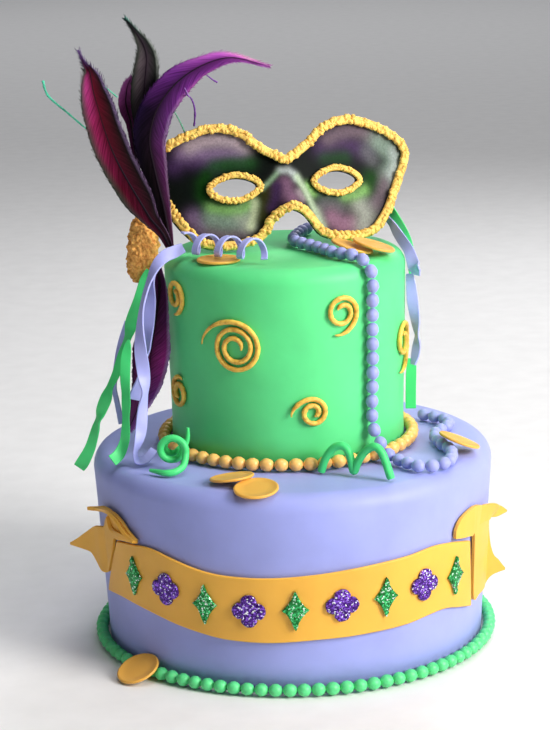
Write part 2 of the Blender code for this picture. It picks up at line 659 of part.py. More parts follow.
def fuse(target, others):
    """Join the others to the target; they stay only as hidden wires."""
    for other in others:
        other.hide_render = True
        other.display_type = "WIRE"
        join = target.modifiers.new(other.name, "BOOLEAN")
        join.operation = "UNION"
        join.solver = "EXACT"
        join.object = other


def wall_row(azimuth, bottom, top, off=1.0):
    x, y, _ = on_lower(azimuth, 60.0, off)
    return (x, y, bottom, top)


left_tail = wall(
    "banner_left_tail",
    [
        wall_row(-48.5, 89.2, 91.5, 1.1), wall_row(-52.0, 88.4, 96.0, 1.1), wall_row(-55.0, 87.6, 101.0, 1.1),
        wall_row(-58.0, 86.2, 103.5, 1.1), wall_row(-60.3, 85.4, 104.0), wall_row(-62.2, 76.0, 102.0),
        wall_row(-65.0, 65.0, 96.5), wall_row(-67.5, 58.0, 90.0), (-126.2, -46.0, 57.0, 88.4),
        (-129.6, -41.6, 62.0, 87.0), (-133.4, -38.0, 67.5, 84.0), (-138.2, -34.6, 68.8, 80.0),
        (-143.4, -31.4, 69.6, 75.6), (-148.5, -28.6, 70.5, 72.0),
    ],
    TAIL_THICK, BAND_GOLD,
)
left_curl = strip(
    "left_curl",
    [
        (-115.6, -73.4, 99.6, 4.4, 90), (-120.2, -65.4, 102.6, 4.4, 90), (-124.6, -55.4, 102.4, 4, 90),
        (-128.2, -48.2, 100.4, 3.4, 90), (-132.2, -44.4, 99.4, 2.6, 90), (-136, -42, 98.9, 1.6, 90),
    ],
    2.4, BAND_GOLD, steps=2,
)
fuse(left_tail, [left_curl])

right_tail = wall(
    "banner_right_tail",
    [
        wall_row(50.0, 87.4, 92.5), wall_row(51.6, 86.6, 98.0), wall_row(54.5, 85.4, 101.4),
        wall_row(59.0, 83.6, 103.3), wall_row(60.6, 81.0, 103.0), wall_row(62.2, 39.5, 102.5),
        wall_row(67.0, 37.5, 99.0), wall_row(72.0, 37.5, 95.0), wall_row(74.5, 39.5, 86.0),
        (131.0, -33.0, 44.0, 62.0), (136.0, -31.0, 45.8, 54.5), (140.5, -29.5, 46.8, 48.4),
    ],
    TAIL_THICK, BAND_GOLD,
)
right_upper = strip(
    "right_upper",
    [
        (122.2, -61, 94.2, 12.4, 0), (126.6, -54.2, 93.9, 12, 0), (131.4, -46.2, 92.7, 11.2, 0),
        (134, -38.4, 90.6, 9, 0), (137.6, -34.8, 89.6, 6, 0), (141.5, -32.5, 88.8, 1.2, 0),
    ],
    1.9, BAND_GOLD, steps=1,
)
fuse(right_tail, [right_upper])


def motif_outline(kind):
    """A harlequin lozenge with hollow sides, or a four-lobed flower."""
    points = []
    count = 12 if kind == "lozenge" else 20
    for k in range(count):
        angle = 2 * math.pi * k / count
        if kind == "lozenge":
            reach = 1.0 / (abs(math.cos(angle)) ** 0.8 + abs(math.sin(angle)) ** 0.8) ** 1.25
            points.append((8.6 * reach * math.cos(angle), 13.4 * reach * math.sin(angle)))
        else:
            reach = 7.2 + 3.6 * abs(math.cos(2 * angle)) ** 0.7
            points.append((reach * math.cos(angle), reach * math.sin(angle)))
    return points


def motif(name, kind, azimuth, colour):
    bm = bmesh.new()
    outline = motif_outline(kind)
    rings = [[(u, v, w) for u, v in outline] for w in (0.0, MOTIF_THICK)]
    loft(bm, rings)
    height = (band_edge(azimuth, 1) + band_edge(azimuth, 2)) / 2
    x, y, z = on_lower(azimuth, height, BAND_OFF + BAND_THICK + 0.65)
    lean = math.degrees(math.atan((LOWER_HEAD - LOWER_FOOT) / (LOWER_HEIGHT - LOWER_ROUND)))
    return finish(name, bm, colour, 0.6, matrix=place(x, y, z, turn=azimuth, tilt=90.0 + lean))


for i in range(MOTIF_COUNT):
    kind = "lozenge" if i % 2 == 0 else "quatrefoil"
    colour = GLITTER_GREEN if i % 2 == 0 else GLITTER_PURPLE
    motif(f"motif_{kind}_{i + 1}", kind, (i - (MOTIF_COUNT - 1) / 2) * MOTIF_SPACING, colour)


coin_count = 0


def coin(x, y, z, turn=0.0, tilt=0.0, roll=0.0):
    """A flat disc with a worn rim, centred on its own middle."""
    global coin_count
    coin_count += 1
    half = COIN_THICK / 2
    profile = [(COIN_RADIUS, -half), (COIN_RADIUS, half)]
    return lathe(f"coin_{coin_count}", profile, 18, GOLD, 0.35, matrix=place(x, y, z, turn, tilt, roll))


coin(-45.0, -39.0, TOP + 1.3)
coin(41.6, -24.2, TOP + 5.5, roll=17.0)
coin(55.6, -25.0, TOP + 6.2, roll=16.0)
coin(-38.5, -101.5, LOWER_HEIGHT + 3.9, turn=41.0, tilt=-9.0)
coin(-23.0, -120.5, LOWER_HEIGHT + 1.9, turn=-11.0, tilt=9.0)
coin(109.8, -40.0, LOWER_HEIGHT + 8.2, tilt=-5.0, roll=21.0)
coin(-102.5, -97.0, 7.2, turn=-46.6, tilt=24.0)


def helix(centre, axis, radius, turns, length, count, start=0.0):
    """Points of a spring round an axis through its centre."""
    along = Vector(axis).normalized()
    side = along.cross(Vector((0.0, 0.0, 1.0))).normalized()
    up = side.cross(along)
    result = []
    for i in range(count + 1):
        t = i / count
        angle = math.radians(start) + 2 * math.pi * turns * t
        middle = Vector(centre) + along * (length * (t - 0.5))
        result.append(middle + (side * math.cos(angle) + up * math.sin(angle)) * radius)
    return result


def ribbon_helix(name, centre, axis, radius, turns, length, count, width, thick, start):
    """A flat strip wound into a spring, its face turned to the axis."""
    route = helix(centre, axis, radius, turns, length, count, start)
    along = Vector(axis).normalized()
    rings = []
    for i, (point, ahead) in enumerate(zip(route, tangents(route))):
        middle = Vector(centre) + along * (length * (i / count - 0.5))
        out = (point - middle).normalized()
        across = ahead.cross(out).normalized() * width / 2
        out = out * thick / 2
        rings.append([point - across - out, point + across - out, point + across + out, point - across + out])
    bm = bmesh.new()
    loft(bm, rings)
    return finish(name, bm, LAVENDER)


ribbon_helix(
    "lavender_coil", (-42.0, -42.0, TOP + 10.5), (1.0, -0.62, 0.0), 6.6, 3.5, 60.0, 32, 4.4, 1.3, 75.0,
)

green_route = [
    (-91.3, -79.5, 135.0), (-86.8, -82.6, 135.0), (-81.3, -86.4, 135.0), (-75.2, -86.0, 135.4),
    (-70.0, -81.5, 138.0),
]
for k in range(22):
    t = k / 21
    angle = math.radians(-15.0 + 700.0 * t)
    reach = 8.9 - 4.3 * t
    green_route.append((-76.9 + reach * math.cos(angle), -77.0 + 14.0 * t, 146.6 + reach * math.sin(angle)))
green_route += [(-69.5, -60.5, 146.0), (-67.6, -60.0, 151.0), (-67.2, -60.0, 157.5)]
coil("green_coil", green_route, 2.3, 5, GREEN)

arches = spline(
    [
        (18.2, -84.9, 133.4), (20.2, -85.6, 140.5), (23.4, -86.6, 146.3), (27.2, -88.0, 150.3),
        (31.6, -89.7, 151.5),
        (35.0, -91.1, 149.0), (37.0, -91.9, 143.0), (38.7, -92.6, 135.6), (41.6, -94.0, 142.6),
        (45.3, -95.9, 148.6),
        (48.9, -97.8, 152.2), (52.2, -99.4, 153.2), (55.4, -101.0, 150.9), (58.0, -102.3, 145.4),
        (61.7, -104.3, 133.6),
    ],
    2,
)
coil("green_arches", arches, 2.6, 5, GREEN, ends=0.9)

mound = []
for k in range(8):
    t = k / 7
    mound.append((-100.5 + 4.0 * t + 2.5 * math.sin(math.pi * t), -3.0, TOP + 24.0 - 42.0 * t))
widths = [10.2 * math.sin(math.pi * (0.08 + 0.84 * k / 7)) ** 0.8 for k in range(8)]
bm = bmesh.new()
loft(bm, tube_rings(mound, widths, 10))
finish("gold_mound", bm, GOLD, 0.8)
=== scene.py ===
import math
import random
import bpy
import bmesh
from mathutils import Matrix, Vector, noise


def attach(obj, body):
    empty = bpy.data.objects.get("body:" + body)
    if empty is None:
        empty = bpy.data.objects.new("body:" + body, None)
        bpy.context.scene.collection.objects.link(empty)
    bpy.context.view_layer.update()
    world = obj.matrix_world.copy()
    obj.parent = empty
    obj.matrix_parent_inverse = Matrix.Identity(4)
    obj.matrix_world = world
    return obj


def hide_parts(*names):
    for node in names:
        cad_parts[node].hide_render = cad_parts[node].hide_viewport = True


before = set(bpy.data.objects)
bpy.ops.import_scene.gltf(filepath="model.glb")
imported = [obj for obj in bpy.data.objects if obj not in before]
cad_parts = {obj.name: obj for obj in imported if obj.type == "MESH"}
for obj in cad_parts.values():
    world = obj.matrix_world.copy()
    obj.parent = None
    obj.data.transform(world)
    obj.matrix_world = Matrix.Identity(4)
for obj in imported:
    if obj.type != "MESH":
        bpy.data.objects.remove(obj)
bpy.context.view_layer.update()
mm = 0.001
rand = random.Random(7)

# sizes in millimetres, the same as the solids have
tiers = {
    "lowerFoot": 127.0, "lowerHead": 134.2, "lowerHeight": 132.0, "lowerRound": 12.0,
    "upperFoot": 78.0, "upperHead": 80.3, "upperHeight": 130.0, "upperRound": 10.5,
    "upperX": -2.5, "upperY": 4.0, "upperBase": 132.3,
}
top = tiers["upperBase"] + tiers["upperHeight"]
shelf = tiers["lowerHeight"]


def lowerRadius(z):
    straight = tiers["lowerHeight"] - tiers["lowerRound"]
    return min(
        tiers["lowerFoot"] + (tiers["lowerHead"] - tiers["lowerFoot"]) * z / straight, tiers["lowerHead"]
    )


def upperRadius(z):
    straight = tiers["upperHeight"] - tiers["upperRound"]
    grown = (tiers["upperHead"] - tiers["upperFoot"]) * (z - tiers["upperBase"]) / straight
    return min(tiers["upperFoot"] + grown, tiers["upperHead"])


def onLower(azimuth, z, off):
    angle, radius = math.radians(azimuth), lowerRadius(z) + off
    return Vector((radius * math.sin(angle), -radius * math.cos(angle), z))


def onUpper(azimuth, z, off):
    angle, radius = math.radians(azimuth), upperRadius(z) + off
    return Vector((tiers["upperX"] + radius * math.sin(angle), tiers["upperY"] - radius * math.cos(angle), z))


def onRim(azimuth, lift, off):
    up, angle = math.radians(lift), math.radians(azimuth)
    reach = tiers["upperRound"] + off
    radius = tiers["upperHead"] - tiers["upperRound"] + reach * math.cos(up)
    z = top - tiers["upperRound"] + reach * math.sin(up)
    return Vector((tiers["upperX"] + radius * math.sin(angle), tiers["upperY"] - radius * math.cos(angle), z))


def smoothLine(rows, steps):
    line = []
    for i in range(len(rows) - 1):
        a, b, c, d = rows[max(i - 1, 0)], rows[i], rows[i + 1], rows[min(i + 2, len(rows) - 1)]
        for k in range(steps):
            t = k / steps
            line.append([
                0.5 * (
                    2 * q + (r - p) * t + (2 * p - 5 * q + 4 * r - s) * t**2 + (3 * q - p - 3 * r + s) * t**3
                )
                for p, q, r, s in zip(a, b, c, d)
            ])
    line.append(list(rows[-1]))
    return line


def evenly(points, pitch, closed=False):
    # points a pitch apart along a line
    points = [Vector(p) for p in points]
    if closed:
        points.append(points[0])
    length = sum((b - a).length for a, b in zip(points, points[1:]))
    count = max(2, round(length / pitch))
    step, wanted, done, spaced = length / count, 0.0, 0.0, []
    for a, b in zip(points, points[1:]):
        span = (b - a).length
        while len(spaced) <= count and wanted <= done + span + 1e-9:
            spaced.append(a.lerp(b, (wanted - done) / span if span > 1e-9 else 0.0))
            wanted += step
        done += span
    return spaced[:-1] if closed else spaced


def headings(points, closed=False):
    count, result = len(points), []
    for i in range(count):
        before = points[(i - 1) % count] if closed else points[max(i - 1, 0)]
        after = points[(i + 1) % count] if closed else points[min(i + 1, count - 1)]
        result.append((Vector(after) - Vector(before)).normalized())
    return result


def pieceName(node):
    words = node.split("_")
    return words[0] + "".join(word.capitalize() for word in words[1:])


def finishPiece(name, bm, material, stands=(), slotName=None, smoothAngle=None, fromMillimetres=True):
    # bmesh in millimetres to a piece in metres, riding on the cake
    if fromMillimetres:
        bmesh.ops.scale(bm, vec=(mm, mm, mm), verts=bm.verts)
    mesh = bpy.data.meshes.new(name)
    bm.to_mesh(mesh)
    bm.free()
    mesh.shade_smooth()
    if smoothAngle:
        mesh.set_sharp_from_angle(angle=math.radians(smoothAngle))
    mesh.materials.append(material)
    piece = bpy.data.objects.new(name, mesh)
    bpy.context.scene.collection.objects.link(piece)
    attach(piece, "root")
    if stands:
        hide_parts(*stands)
    return piece


def roughen(bm, verts, size, depth, seed=0.0):
    # grain: pushes points in and out along their normals
    bm.normal_update()
    shift = Vector((seed * 7.3, seed * 3.1, seed * 5.7))
    for vert in verts:
        vert.co += vert.normal * depth * noise.noise(vert.co / size + shift)


def ropeInto(bm, points, radii, ups=None, sides=10, closed=False, flat=1.0):
    # a circle extruded along a line
    ahead = headings(points, closed)
    up = Vector((0, 0, 1)) if abs(ahead[0].z) < 0.9 else Vector((0, 1, 0))
    places = []
    for i, point in enumerate(points):
        if ups:
            up = Vector(ups[i])
        up = (up - ahead[i] * up.dot(ahead[i])).normalized()
        side = ahead[i].cross(up)
        turned = Matrix((side, up, ahead[i])).transposed().to_4x4()
        r = radii[i] if hasattr(radii, "__len__") else radii
        places.append(Matrix.Translation(point) @ turned @ Matrix.Diagonal((r, r * flat, r, 1)))
    ring = bmesh.ops.create_circle(bm, segments=sides, radius=1.0)["verts"]
    edges = list({e for v in ring for e in v.link_edges})
    bmesh.ops.transform(bm, matrix=places[0], verts=ring)
    first, made = edges, list(ring)
    for before, after in zip(places, places[1:]):
        grown = bmesh.ops.extrude_edge_only(bm, edges=edges)["geom"]
        ring = [g for g in grown if isinstance(g, bmesh.types.BMVert)]
        here = set(ring)
        edges = [g for g in grown if isinstance(g, bmesh.types.BMEdge) and set(g.verts) <= here]
        bmesh.ops.transform(bm, matrix=after @ before.inverted(), verts=ring)
        made += ring
    if closed:
        bmesh.ops.bridge_loops(bm, edges=first + edges)
    else:
        bmesh.ops.holes_fill(bm, edges=first + edges, sides=0)
    return made


def sheetInto(bm, placeAt, along, across, thick):
    # a flat grid laid out by placeAt(s, t), s and t from 0 to 1, then given its thickness
    bm.loops.layers.uv.verify()
    made = bmesh.ops.create_grid(bm, x_segments=along, y_segments=across, size=0.5, calc_uvs=True)["verts"]
    for vert in made:
        vert.co = placeAt(vert.co.x + 0.5, vert.co.y + 0.5)
    bm.normal_update()
    faces = list({f for v in made for f in v.link_faces})
    for vert in made:
        vert.co += vert.normal * thick / 2
    bmesh.ops.solidify(bm, geom=faces, thickness=thick)


# icings, sugar and plume materials
def newMaterial(name):
    material = bpy.data.materials.new(name)
    material.use_nodes = True
    tree = material.node_tree
    shader = tree.nodes["Principled BSDF"]
    coords = tree.nodes.new("ShaderNodeTexCoord")
    return material, tree, shader, coords


def addNoise(tree, coords, scale, detail=3.0, rough=0.5):
    node = tree.nodes.new("ShaderNodeTexNoise")
    node.inputs["Scale"].default_value = scale
    node.inputs["Detail"].default_value = detail
    node.inputs["Roughness"].default_value = rough
    tree.links.new(coords.outputs["Object"], node.inputs["Vector"])
    return node


def addRamp(tree, source, stops):
    ramp = tree.nodes.new("ShaderNodeValToRGB")
    while len(ramp.color_ramp.elements) < len(stops):
        ramp.color_ramp.elements.new(0.5)
    for element, (place, colour) in zip(ramp.color_ramp.elements, stops):
        element.position = place
        element.color = (*colour, 1.0) if len(colour) == 3 else colour
    tree.links.new(source, ramp.inputs["Fac"])
    return ramp


def addBump(tree, height, strength, distance, before=None):
    bump = tree.nodes.new("ShaderNodeBump")
    bump.inputs["Strength"].default_value = strength
    bump.inputs["Distance"].default_value = distance
    tree.links.new(height, bump.inputs["Height"])
    if before is not None:
        tree.links.new(before.outputs["Normal"], bump.inputs["Normal"])
    return bump


def setInputs(shader, values):
    for name, value in values.items():
        shader.inputs[name].default_value = value


def addTone(tree, shader, source, stops):
    tone = addRamp(tree, source, stops)
    tree.links.new(tone.outputs["Color"], shader.inputs["Base Color"])


def addCells(tree, coords, scale):
    cells = tree.nodes.new("ShaderNodeTexVoronoi")
    cells.inputs["Scale"].default_value = scale
    tree.links.new(coords.outputs["Object"], cells.inputs["Vector"])
    return cells


def paintedTone(tree, shader, attribute, source, stops, factor):
    # the piece's own painted attribute, broken up by a grey ramp
    paint = tree.nodes.new("ShaderNodeAttribute")
    paint.attribute_name = attribute
    tone = addRamp(tree, source, [(place, (grey, grey, grey)) for place, grey in stops])
    mixed = tree.nodes.new("ShaderNodeMix")
    mixed.data_type, mixed.blend_type = "RGBA", "MULTIPLY"
    mixed.inputs["Factor"].default_value = factor
    tree.links.new(paint.outputs["Color"], mixed.inputs["A"])
    tree.links.new(tone.outputs["Color"], mixed.inputs["B"])
    tree.links.new(mixed.outputs["Result"], shader.inputs["Base Color"])


def addRoughness(tree, shader, source, low, high):
    spread = tree.nodes.new("ShaderNodeMapRange")
    spread.inputs["To Min"].default_value = low
    spread.inputs["To Max"].default_value = high
    tree.links.new(source, spread.inputs["Value"])
    tree.links.new(spread.outputs["Result"], shader.inputs["Roughness"])


def shade(colour, factor):
    return tuple(min(1.0, c * factor) for c in colour)


def rolledFondant(name, colour, rough=0.5, bright=1.06, dark=0.93, soft=0.12):
    material, tree, shader, coords = newMaterial(name)
    patches = addNoise(tree, coords, 28, 4)
    powder = addNoise(tree, coords, 900, 4, 0.6)
    dents = addNoise(tree, coords, 60, 2)
    addTone(tree, shader, patches.outputs["Fac"], [(0.3, shade(colour, dark)), (0.7, shade(colour, bright))])
    addRoughness(tree, shader, powder.outputs["Fac"], rough - 0.06, rough + 0.1)
    wide = addBump(tree, dents.outputs["Fac"], 0.25, 0.0008)
    fine = addBump(tree, powder.outputs["Fac"], 0.12, 0.00012, wide)
    tree.links.new(fine.outputs["Normal"], shader.inputs["Normal"])
    setInputs(shader, {
        "Subsurface Weight": soft, "Subsurface Radius": (1.0, 0.8, 0.6), "Subsurface Scale": 0.002,
        "Specular IOR Level": 0.42, "Sheen Weight": 0.06,
    })
    return material


def pipedIcing(name, colour, deep, grain=520, rough=0.6, depth=0.0005):
    material, tree, shader, coords = newMaterial(name)
    cells = addCells(tree, coords, grain)
    lumps = addNoise(tree, coords, grain * 0.6, 5, 0.65)
    addTone(tree, shader, lumps.outputs["Fac"], [(0.32, deep), (0.5, colour), (0.72, shade(colour, 1.25))])
    addRoughness(tree, shader, lumps.outputs["Fac"], rough - 0.1, rough + 0.12)
    first = addBump(tree, cells.outputs["Distance"], 0.35, depth)
    second = addBump(tree, lumps.outputs["Fac"], 0.5, depth, first)
    tree.links.new(second.outputs["Normal"], shader.inputs["Normal"])
    setInputs(shader, {
        "Subsurface Weight": 0.15, "Subsurface Radius": (1.0, 0.5, 0.2), "Subsurface Scale": 0.0015,
    })
    return material


def pearlyBead(name, colour, rough=0.32, coat=0.35):
    material, tree, shader, coords = newMaterial(name)
    patches = addNoise(tree, coords, 260, 3)
    addTone(tree, shader, patches.outputs["Fac"], [(0.3, shade(colour, 0.88)), (0.7, shade(colour, 1.1))])
    addRoughness(tree, shader, patches.outputs["Fac"], rough - 0.05, rough + 0.12)
    bump = addBump(tree, patches.outputs["Fac"], 0.2, 0.0003)
    tree.links.new(bump.outputs["Normal"], shader.inputs["Normal"])
    setInputs(shader, {
        "Coat Weight": coat, "Coat Roughness": 0.25, "Subsurface Weight": 0.12, "Subsurface Scale": 0.002,
    })
    return material


def coarseGlitter(name, deep, bright):
    material, tree, shader, coords = newMaterial(name)
    flakes = addCells(tree, coords, 1100)
    split = tree.nodes.new("ShaderNodeSeparateColor")
    tree.links.new(flakes.outputs["Color"], split.inputs["Color"])
    stops = [(0.0, deep), (0.55, shade(deep, 2.2)), (0.86, bright), (0.97, (0.9, 0.95, 0.95))]
    addTone(tree, shader, split.outputs["Red"], stops)
    addRoughness(tree, shader, split.outputs["Green"], 0.12, 0.5)
    tilted = addBump(tree, split.outputs["Blue"], 0.9, 0.0006)
    tree.links.new(tilted.outputs["Normal"], shader.inputs["Normal"])
    shader.inputs["Metallic"].default_value = 0.55
    return material


def airbrushedSugar(name):
    # the mask's colour attribute holds its airbrushed paint and the painted highlight along the nose
    material, tree, shader, coords = newMaterial(name)
    speckle = addNoise(tree, coords, 700, 4, 0.7)
    paintedTone(tree, shader, "airbrushAndHighlight", speckle.outputs["Fac"], [(0.35, 0.72), (0.65, 1.15)], 0.8)
    addRoughness(tree, shader, speckle.outputs["Fac"], 0.42, 0.6)
    bump = addBump(tree, speckle.outputs["Fac"], 0.15, 0.0002)
    tree.links.new(bump.outputs["Normal"], shader.inputs["Normal"])
    shader.inputs["Specular IOR Level"].default_value = 0.05
    return material


def combedPlume(name):
    # barbs are combed lines on the vane's own UV; the tint is painted along and across it
    material, tree, shader, coords = newMaterial(name)
    combed = tree.nodes.new("ShaderNodeMapping")
    combed.inputs["Scale"].default_value = (90.0, 1.0, 1.0)
    tree.links.new(coords.outputs["UV"], combed.inputs["Vector"])
    lines = tree.nodes.new("ShaderNodeTexNoise")
    lines.inputs["Scale"].default_value = 2.2
    lines.inputs["Detail"].default_value = 3.0
    tree.links.new(combed.outputs["Vector"], lines.inputs["Vector"])
    paintedTone(tree, shader, "tint", lines.outputs["Fac"], [(0.3, 0.35), (0.7, 1.6)], 0.85)
    addRoughness(tree, shader, lines.outputs["Fac"], 0.4, 0.65)
    bump = addBump(tree, lines.outputs["Fac"], 0.6, 0.0004)
    tree.links.new(bump.outputs["Normal"], shader.inputs["Normal"])
    shader.inputs["Specular IOR Level"].default_value = 0.05
    return material


lavenderFondant = rolledFondant("lavenderFondant", (0.32, 0.36, 0.76))
greenFondant = rolledFondant("greenFondant", (0.10, 0.70, 0.24))
bannerFondant = rolledFondant("bannerFondant", (0.86, 0.45, 0.055), 0.46)
lavenderStrip = rolledFondant("lavenderStrip", (0.40, 0.42, 0.84), 0.45)
greenStrip = rolledFondant("greenStrip", (0.06, 0.70, 0.20), 0.45)
lavenderPearl = rolledFondant("lavenderPearl", (0.33, 0.36, 0.72), 0.45)
greenPearl = pearlyBead("greenPearl", (0.10, 0.68, 0.24), 0.45, 0.15)
goldPearl = pearlyBead("goldPearl", (0.92, 0.52, 0.14), 0.4, 0.2)
goldPiping = pipedIcing("goldPiping", (0.88, 0.56, 0.13), (0.55, 0.26, 0.03))
goldSwirl = pipedIcing("goldSwirl", (0.84, 0.52, 0.08), (0.62, 0.31, 0.03), 380, 0.5, 0.0003)
goldCrumb = pipedIcing("goldCrumb", (0.86, 0.44, 0.11), (0.50, 0.16, 0.015), 420, 0.75, 0.0012)
goldCoin = rolledFondant("goldCoin", (0.80, 0.42, 0.07), 0.4)
greenGlitter = coarseGlitter("greenGlitter", (0.004, 0.11, 0.02), (0.08, 0.75, 0.25))
purpleGlitter = coarseGlitter("purpleGlitter", (0.03, 0.004, 0.11), (0.32, 0.12, 0.85))
maskPaint = airbrushedSugar("maskPaint")
plume = combedPlume("plume")
print("materials ready")


# the two iced tiers
def icedTier(name, foot, head, height, rounding, base, x, y, material, slotName):
    outline = [(0.0, 0.0), (foot - 1.0, 0.0), (foot, 1.0)]
    for k in range(1, 6):
        z = (height - rounding) * k / 6
        outline.append((foot + (head - foot) * z / (height - rounding), z))
    for k in range(9):
        angle = math.pi / 2 * k / 8
        outline.append(
            (head - rounding + rounding * math.cos(angle), height - rounding + rounding * math.sin(angle))
        )
    outline += [((head - rounding) * part, height) for part in (0.8, 0.55, 0.3, 0.1, 0.0)]
    bm = bmesh.new()
    verts = [bm.verts.new((r, 0.0, z)) for r, z in outline]
    edges = [bm.edges.new(pair) for pair in zip(verts, verts[1:])]
    bmesh.ops.spin(
        bm, geom=verts + edges, cent=(0, 0, 0), axis=(0, 0, 1), angle=2 * math.pi, steps=144, use_merge=True,
    )
    bmesh.ops.remove_doubles(bm, verts=bm.verts, dist=0.01)
    bmesh.ops.recalc_face_normals(bm, faces=bm.faces)
    for vert in bm.verts:
        # hand-smoothed fondant is never quite true
        if vert.co.z > 4:
            uneven = noise.noise(
                Vector((vert.co.x, vert.co.y, vert.co.z * 1.4)) / 46.0 + Vector((height, 0, 0))
            )
            vert.co -= vert.normal * (0.35 + 0.35 * uneven)
    bmesh.ops.translate(bm, vec=(x, y, base), verts=bm.verts)
    return finishPiece(name, bm, material, [name.replace("Tier", "_tier")], slotName)


icedTier(
    "lowerTier", tiers["lowerFoot"], tiers["lowerHead"], tiers["lowerHeight"], tiers["lowerRound"], 0.0, 0.0,
    0.0,
    lavenderFondant, "fondant_lavender",
)
icedTier(
    "upperTier", tiers["upperFoot"], tiers["upperHead"], tiers["upperHeight"], tiers["upperRound"],
    tiers["upperBase"], tiers["upperX"], tiers["upperY"], greenFondant, "fondant_green",
)
print("tiers iced")


# rows of pearls
pearls = {
    "lowerBead": 4.4, "lowerCount": 92, "upperBead": 4.5, "upperCount": 56, "stringBead": 4.25,
    "stringPitch": 9.5,
}


def pearlRow(name, centres, radius, squash, material, stands, slotName):
    bm = bmesh.new()
    ahead = headings(centres)
    for centre, heading in zip(centres, ahead):
        tilt = heading.to_track_quat("X", "Z").to_matrix().to_4x4()
        size = radius * rand.uniform(0.97, 1.02)
        shape = Matrix.Diagonal((size * squash, size, size, 1))
        made = bmesh.ops.create_icosphere(
            bm, subdivisions=2, radius=1.0, matrix=Matrix.Translation(centre) @ tilt @ shape
        )
        roughen(bm, made["verts"], 3.0, 0.16, rand.uniform(0, 9))
    return finishPiece(name, bm, material, [stands], slotName)


def pearlRing(name, x, y, z, radius, bead, count, material, stands, slotName):
    centres = []
    for i in range(count):
        angle = 2 * math.pi * (i + 0.5) / count
        centres.append(Vector((x + radius * math.cos(angle), y + radius * math.sin(angle), z)))
    return pearlRow(
        name, centres, bead * 0.99, math.pi * radius / count / bead * 1.06, material, stands, slotName
    )


pearlRing(
    "lowerPearls", 0.0, 0.0, pearls["lowerBead"], tiers["lowerFoot"] + 1.3 + pearls["lowerBead"],
    pearls["lowerBead"],
    pearls["lowerCount"], greenPearl, "lower_bead_border", "pearl_green",
)
pearlRing(
    "upperPearls", tiers["upperX"], tiers["upperY"], shelf + 0.3 + pearls["upperBead"],
    tiers["upperFoot"] + 1.3 + pearls["upperBead"], pearls["upperBead"], pearls["upperCount"], goldPearl,
    "upper_bead_border", "pearl_gold",
)
high, low = top + 4.3, shelf + 4.3
garland = [
    (13.0, 52.0, high), (7.5, 36.0, high), (3.6, 11.0, high), (9.4, -3.0, high), (15.8, -13.0, high),
    (21.3, -22.6, high), (27.4, -34.6, high), (33.6, -42.4, high), onRim(38.8, 80.0, 4.7),
    onRim(40.3, 45.0, 4.7),
    onRim(41.0, 8.0, 4.7), onUpper(
        41.0, top - 28.0, 4.6
    ), onUpper(41.2, 192.3, 4.6), onUpper(41.0, 158.3, 5.0),
    onUpper(41.4, 144.3, 13.2), (
        64.0, -65.5, low + 0.4
    ), (70.0, -73.5, low), (76.4, -82.6, low), (83.0, -87.5, low),
    (92.0, -84.5, low), (99.5, -77.0, low), (103.4, -61.0, low), (102.4, -46.0, low), (98.0, -33.0, low),
    (95.2, -17.0, low), (97.0, -5.0, low), (103.0, 5.0, low), (106.9, 16.0, low), (105.0, 27.5, low),
    (99.0, 34.0, low), (92.5, 40.0, low), (86.0, 49.0, low),
]
pearlRow(
    "garland", evenly(smoothLine(garland, 12), pearls["stringPitch"])[:-1], pearls["stringBead"], 1.14,
    lavenderPearl, "bead_string", "pearl_lavender",
)
print("pearls laid")

# the banner and its motifs
banner = {
    "thick": 2.2, "topEnds": (-59.0, 58.2), "bottomEnds": (-69.6, 61.4),
    "edges": [
        (-72, 43, 82), (-60, 46, 84.5), (-50, 45.7, 87.4), (-43, 43.8, 88.4), (-35, 40.7, 84.9),
        (-27, 37.9, 80.9), (-20, 35.9, 79), (-8, 35.3, 78.7), (5, 36.9, 80.6), (20, 38, 83.5),
        (33, 39.2, 85.5), (41, 41.4, 87.4), (47, 41.4, 86.2), (53, 38.2, 83.6), (64, 32.4, 78),
    ],
}


def bannerEdges(azimuth):
    # heights of the bottom and top edge, smoothed through the rows
    rows = banner["edges"]
    i = 0
    while i < len(rows) - 2 and rows[i + 1][0] < azimuth:
        i += 1
    t = (azimuth - rows[i][0]) / (rows[i + 1][0] - rows[i][0])
    p, q, r, s = rows[max(i - 1, 0)], rows[i], rows[i + 1], rows[min(i + 2, len(rows) - 1)]
    bend = [(
        2 * p[k] - 5 * q[k] + 4 * r[k] - s[k]
    ) * t**2 + (3 * q[k] - p[k] - 3 * r[k] + s[k]) * t**3 for k in (1, 2)]
    return [0.5 * (2 * q[k] + (r[k] - p[k]) * t + bend[k - 1]) for k in (1, 2)]


def bannerFront(s, t):
    (topLeft, topRight), (footLeft, footRight) = banner["topEnds"], banner["bottomEnds"]
    footAt = footLeft + (footRight - footLeft) * s
    topAt = topLeft + (topRight - topLeft) * s
    azimuth = footAt + (topAt - footAt) * t
    height = bannerEdges(footAt)[0] * (1 - t) + bannerEdges(topAt)[1] * t
    ripple = 0.25 * noise.noise(Vector((azimuth / 9.0, t * 1.5, 4.0)))
    return onLower(azimuth, height, 1.7 + ripple)


def fondantSheet(name, placeAt, along, across, thick, material, stands, slotName, edge=0.5):
    bm = bmesh.new()
    sheetInto(bm, placeAt, along, across, thick)
    bmesh.ops.recalc_face_normals(bm, faces=bm.faces)
    piece = finishPiece(name, bm, material, stands, slotName, 50)
    soften = piece.modifiers.new("edge", "BEVEL")
    soften.width, soften.segments = edge * mm, 3
    soften.limit_method, soften.angle_limit = "ANGLE", math.radians(50)
    return piece


fondantSheet(
    "bannerFront", bannerFront, 120, 12, banner["thick"], bannerFondant, ["banner_band"], "fondant_gold", 0.7,
)


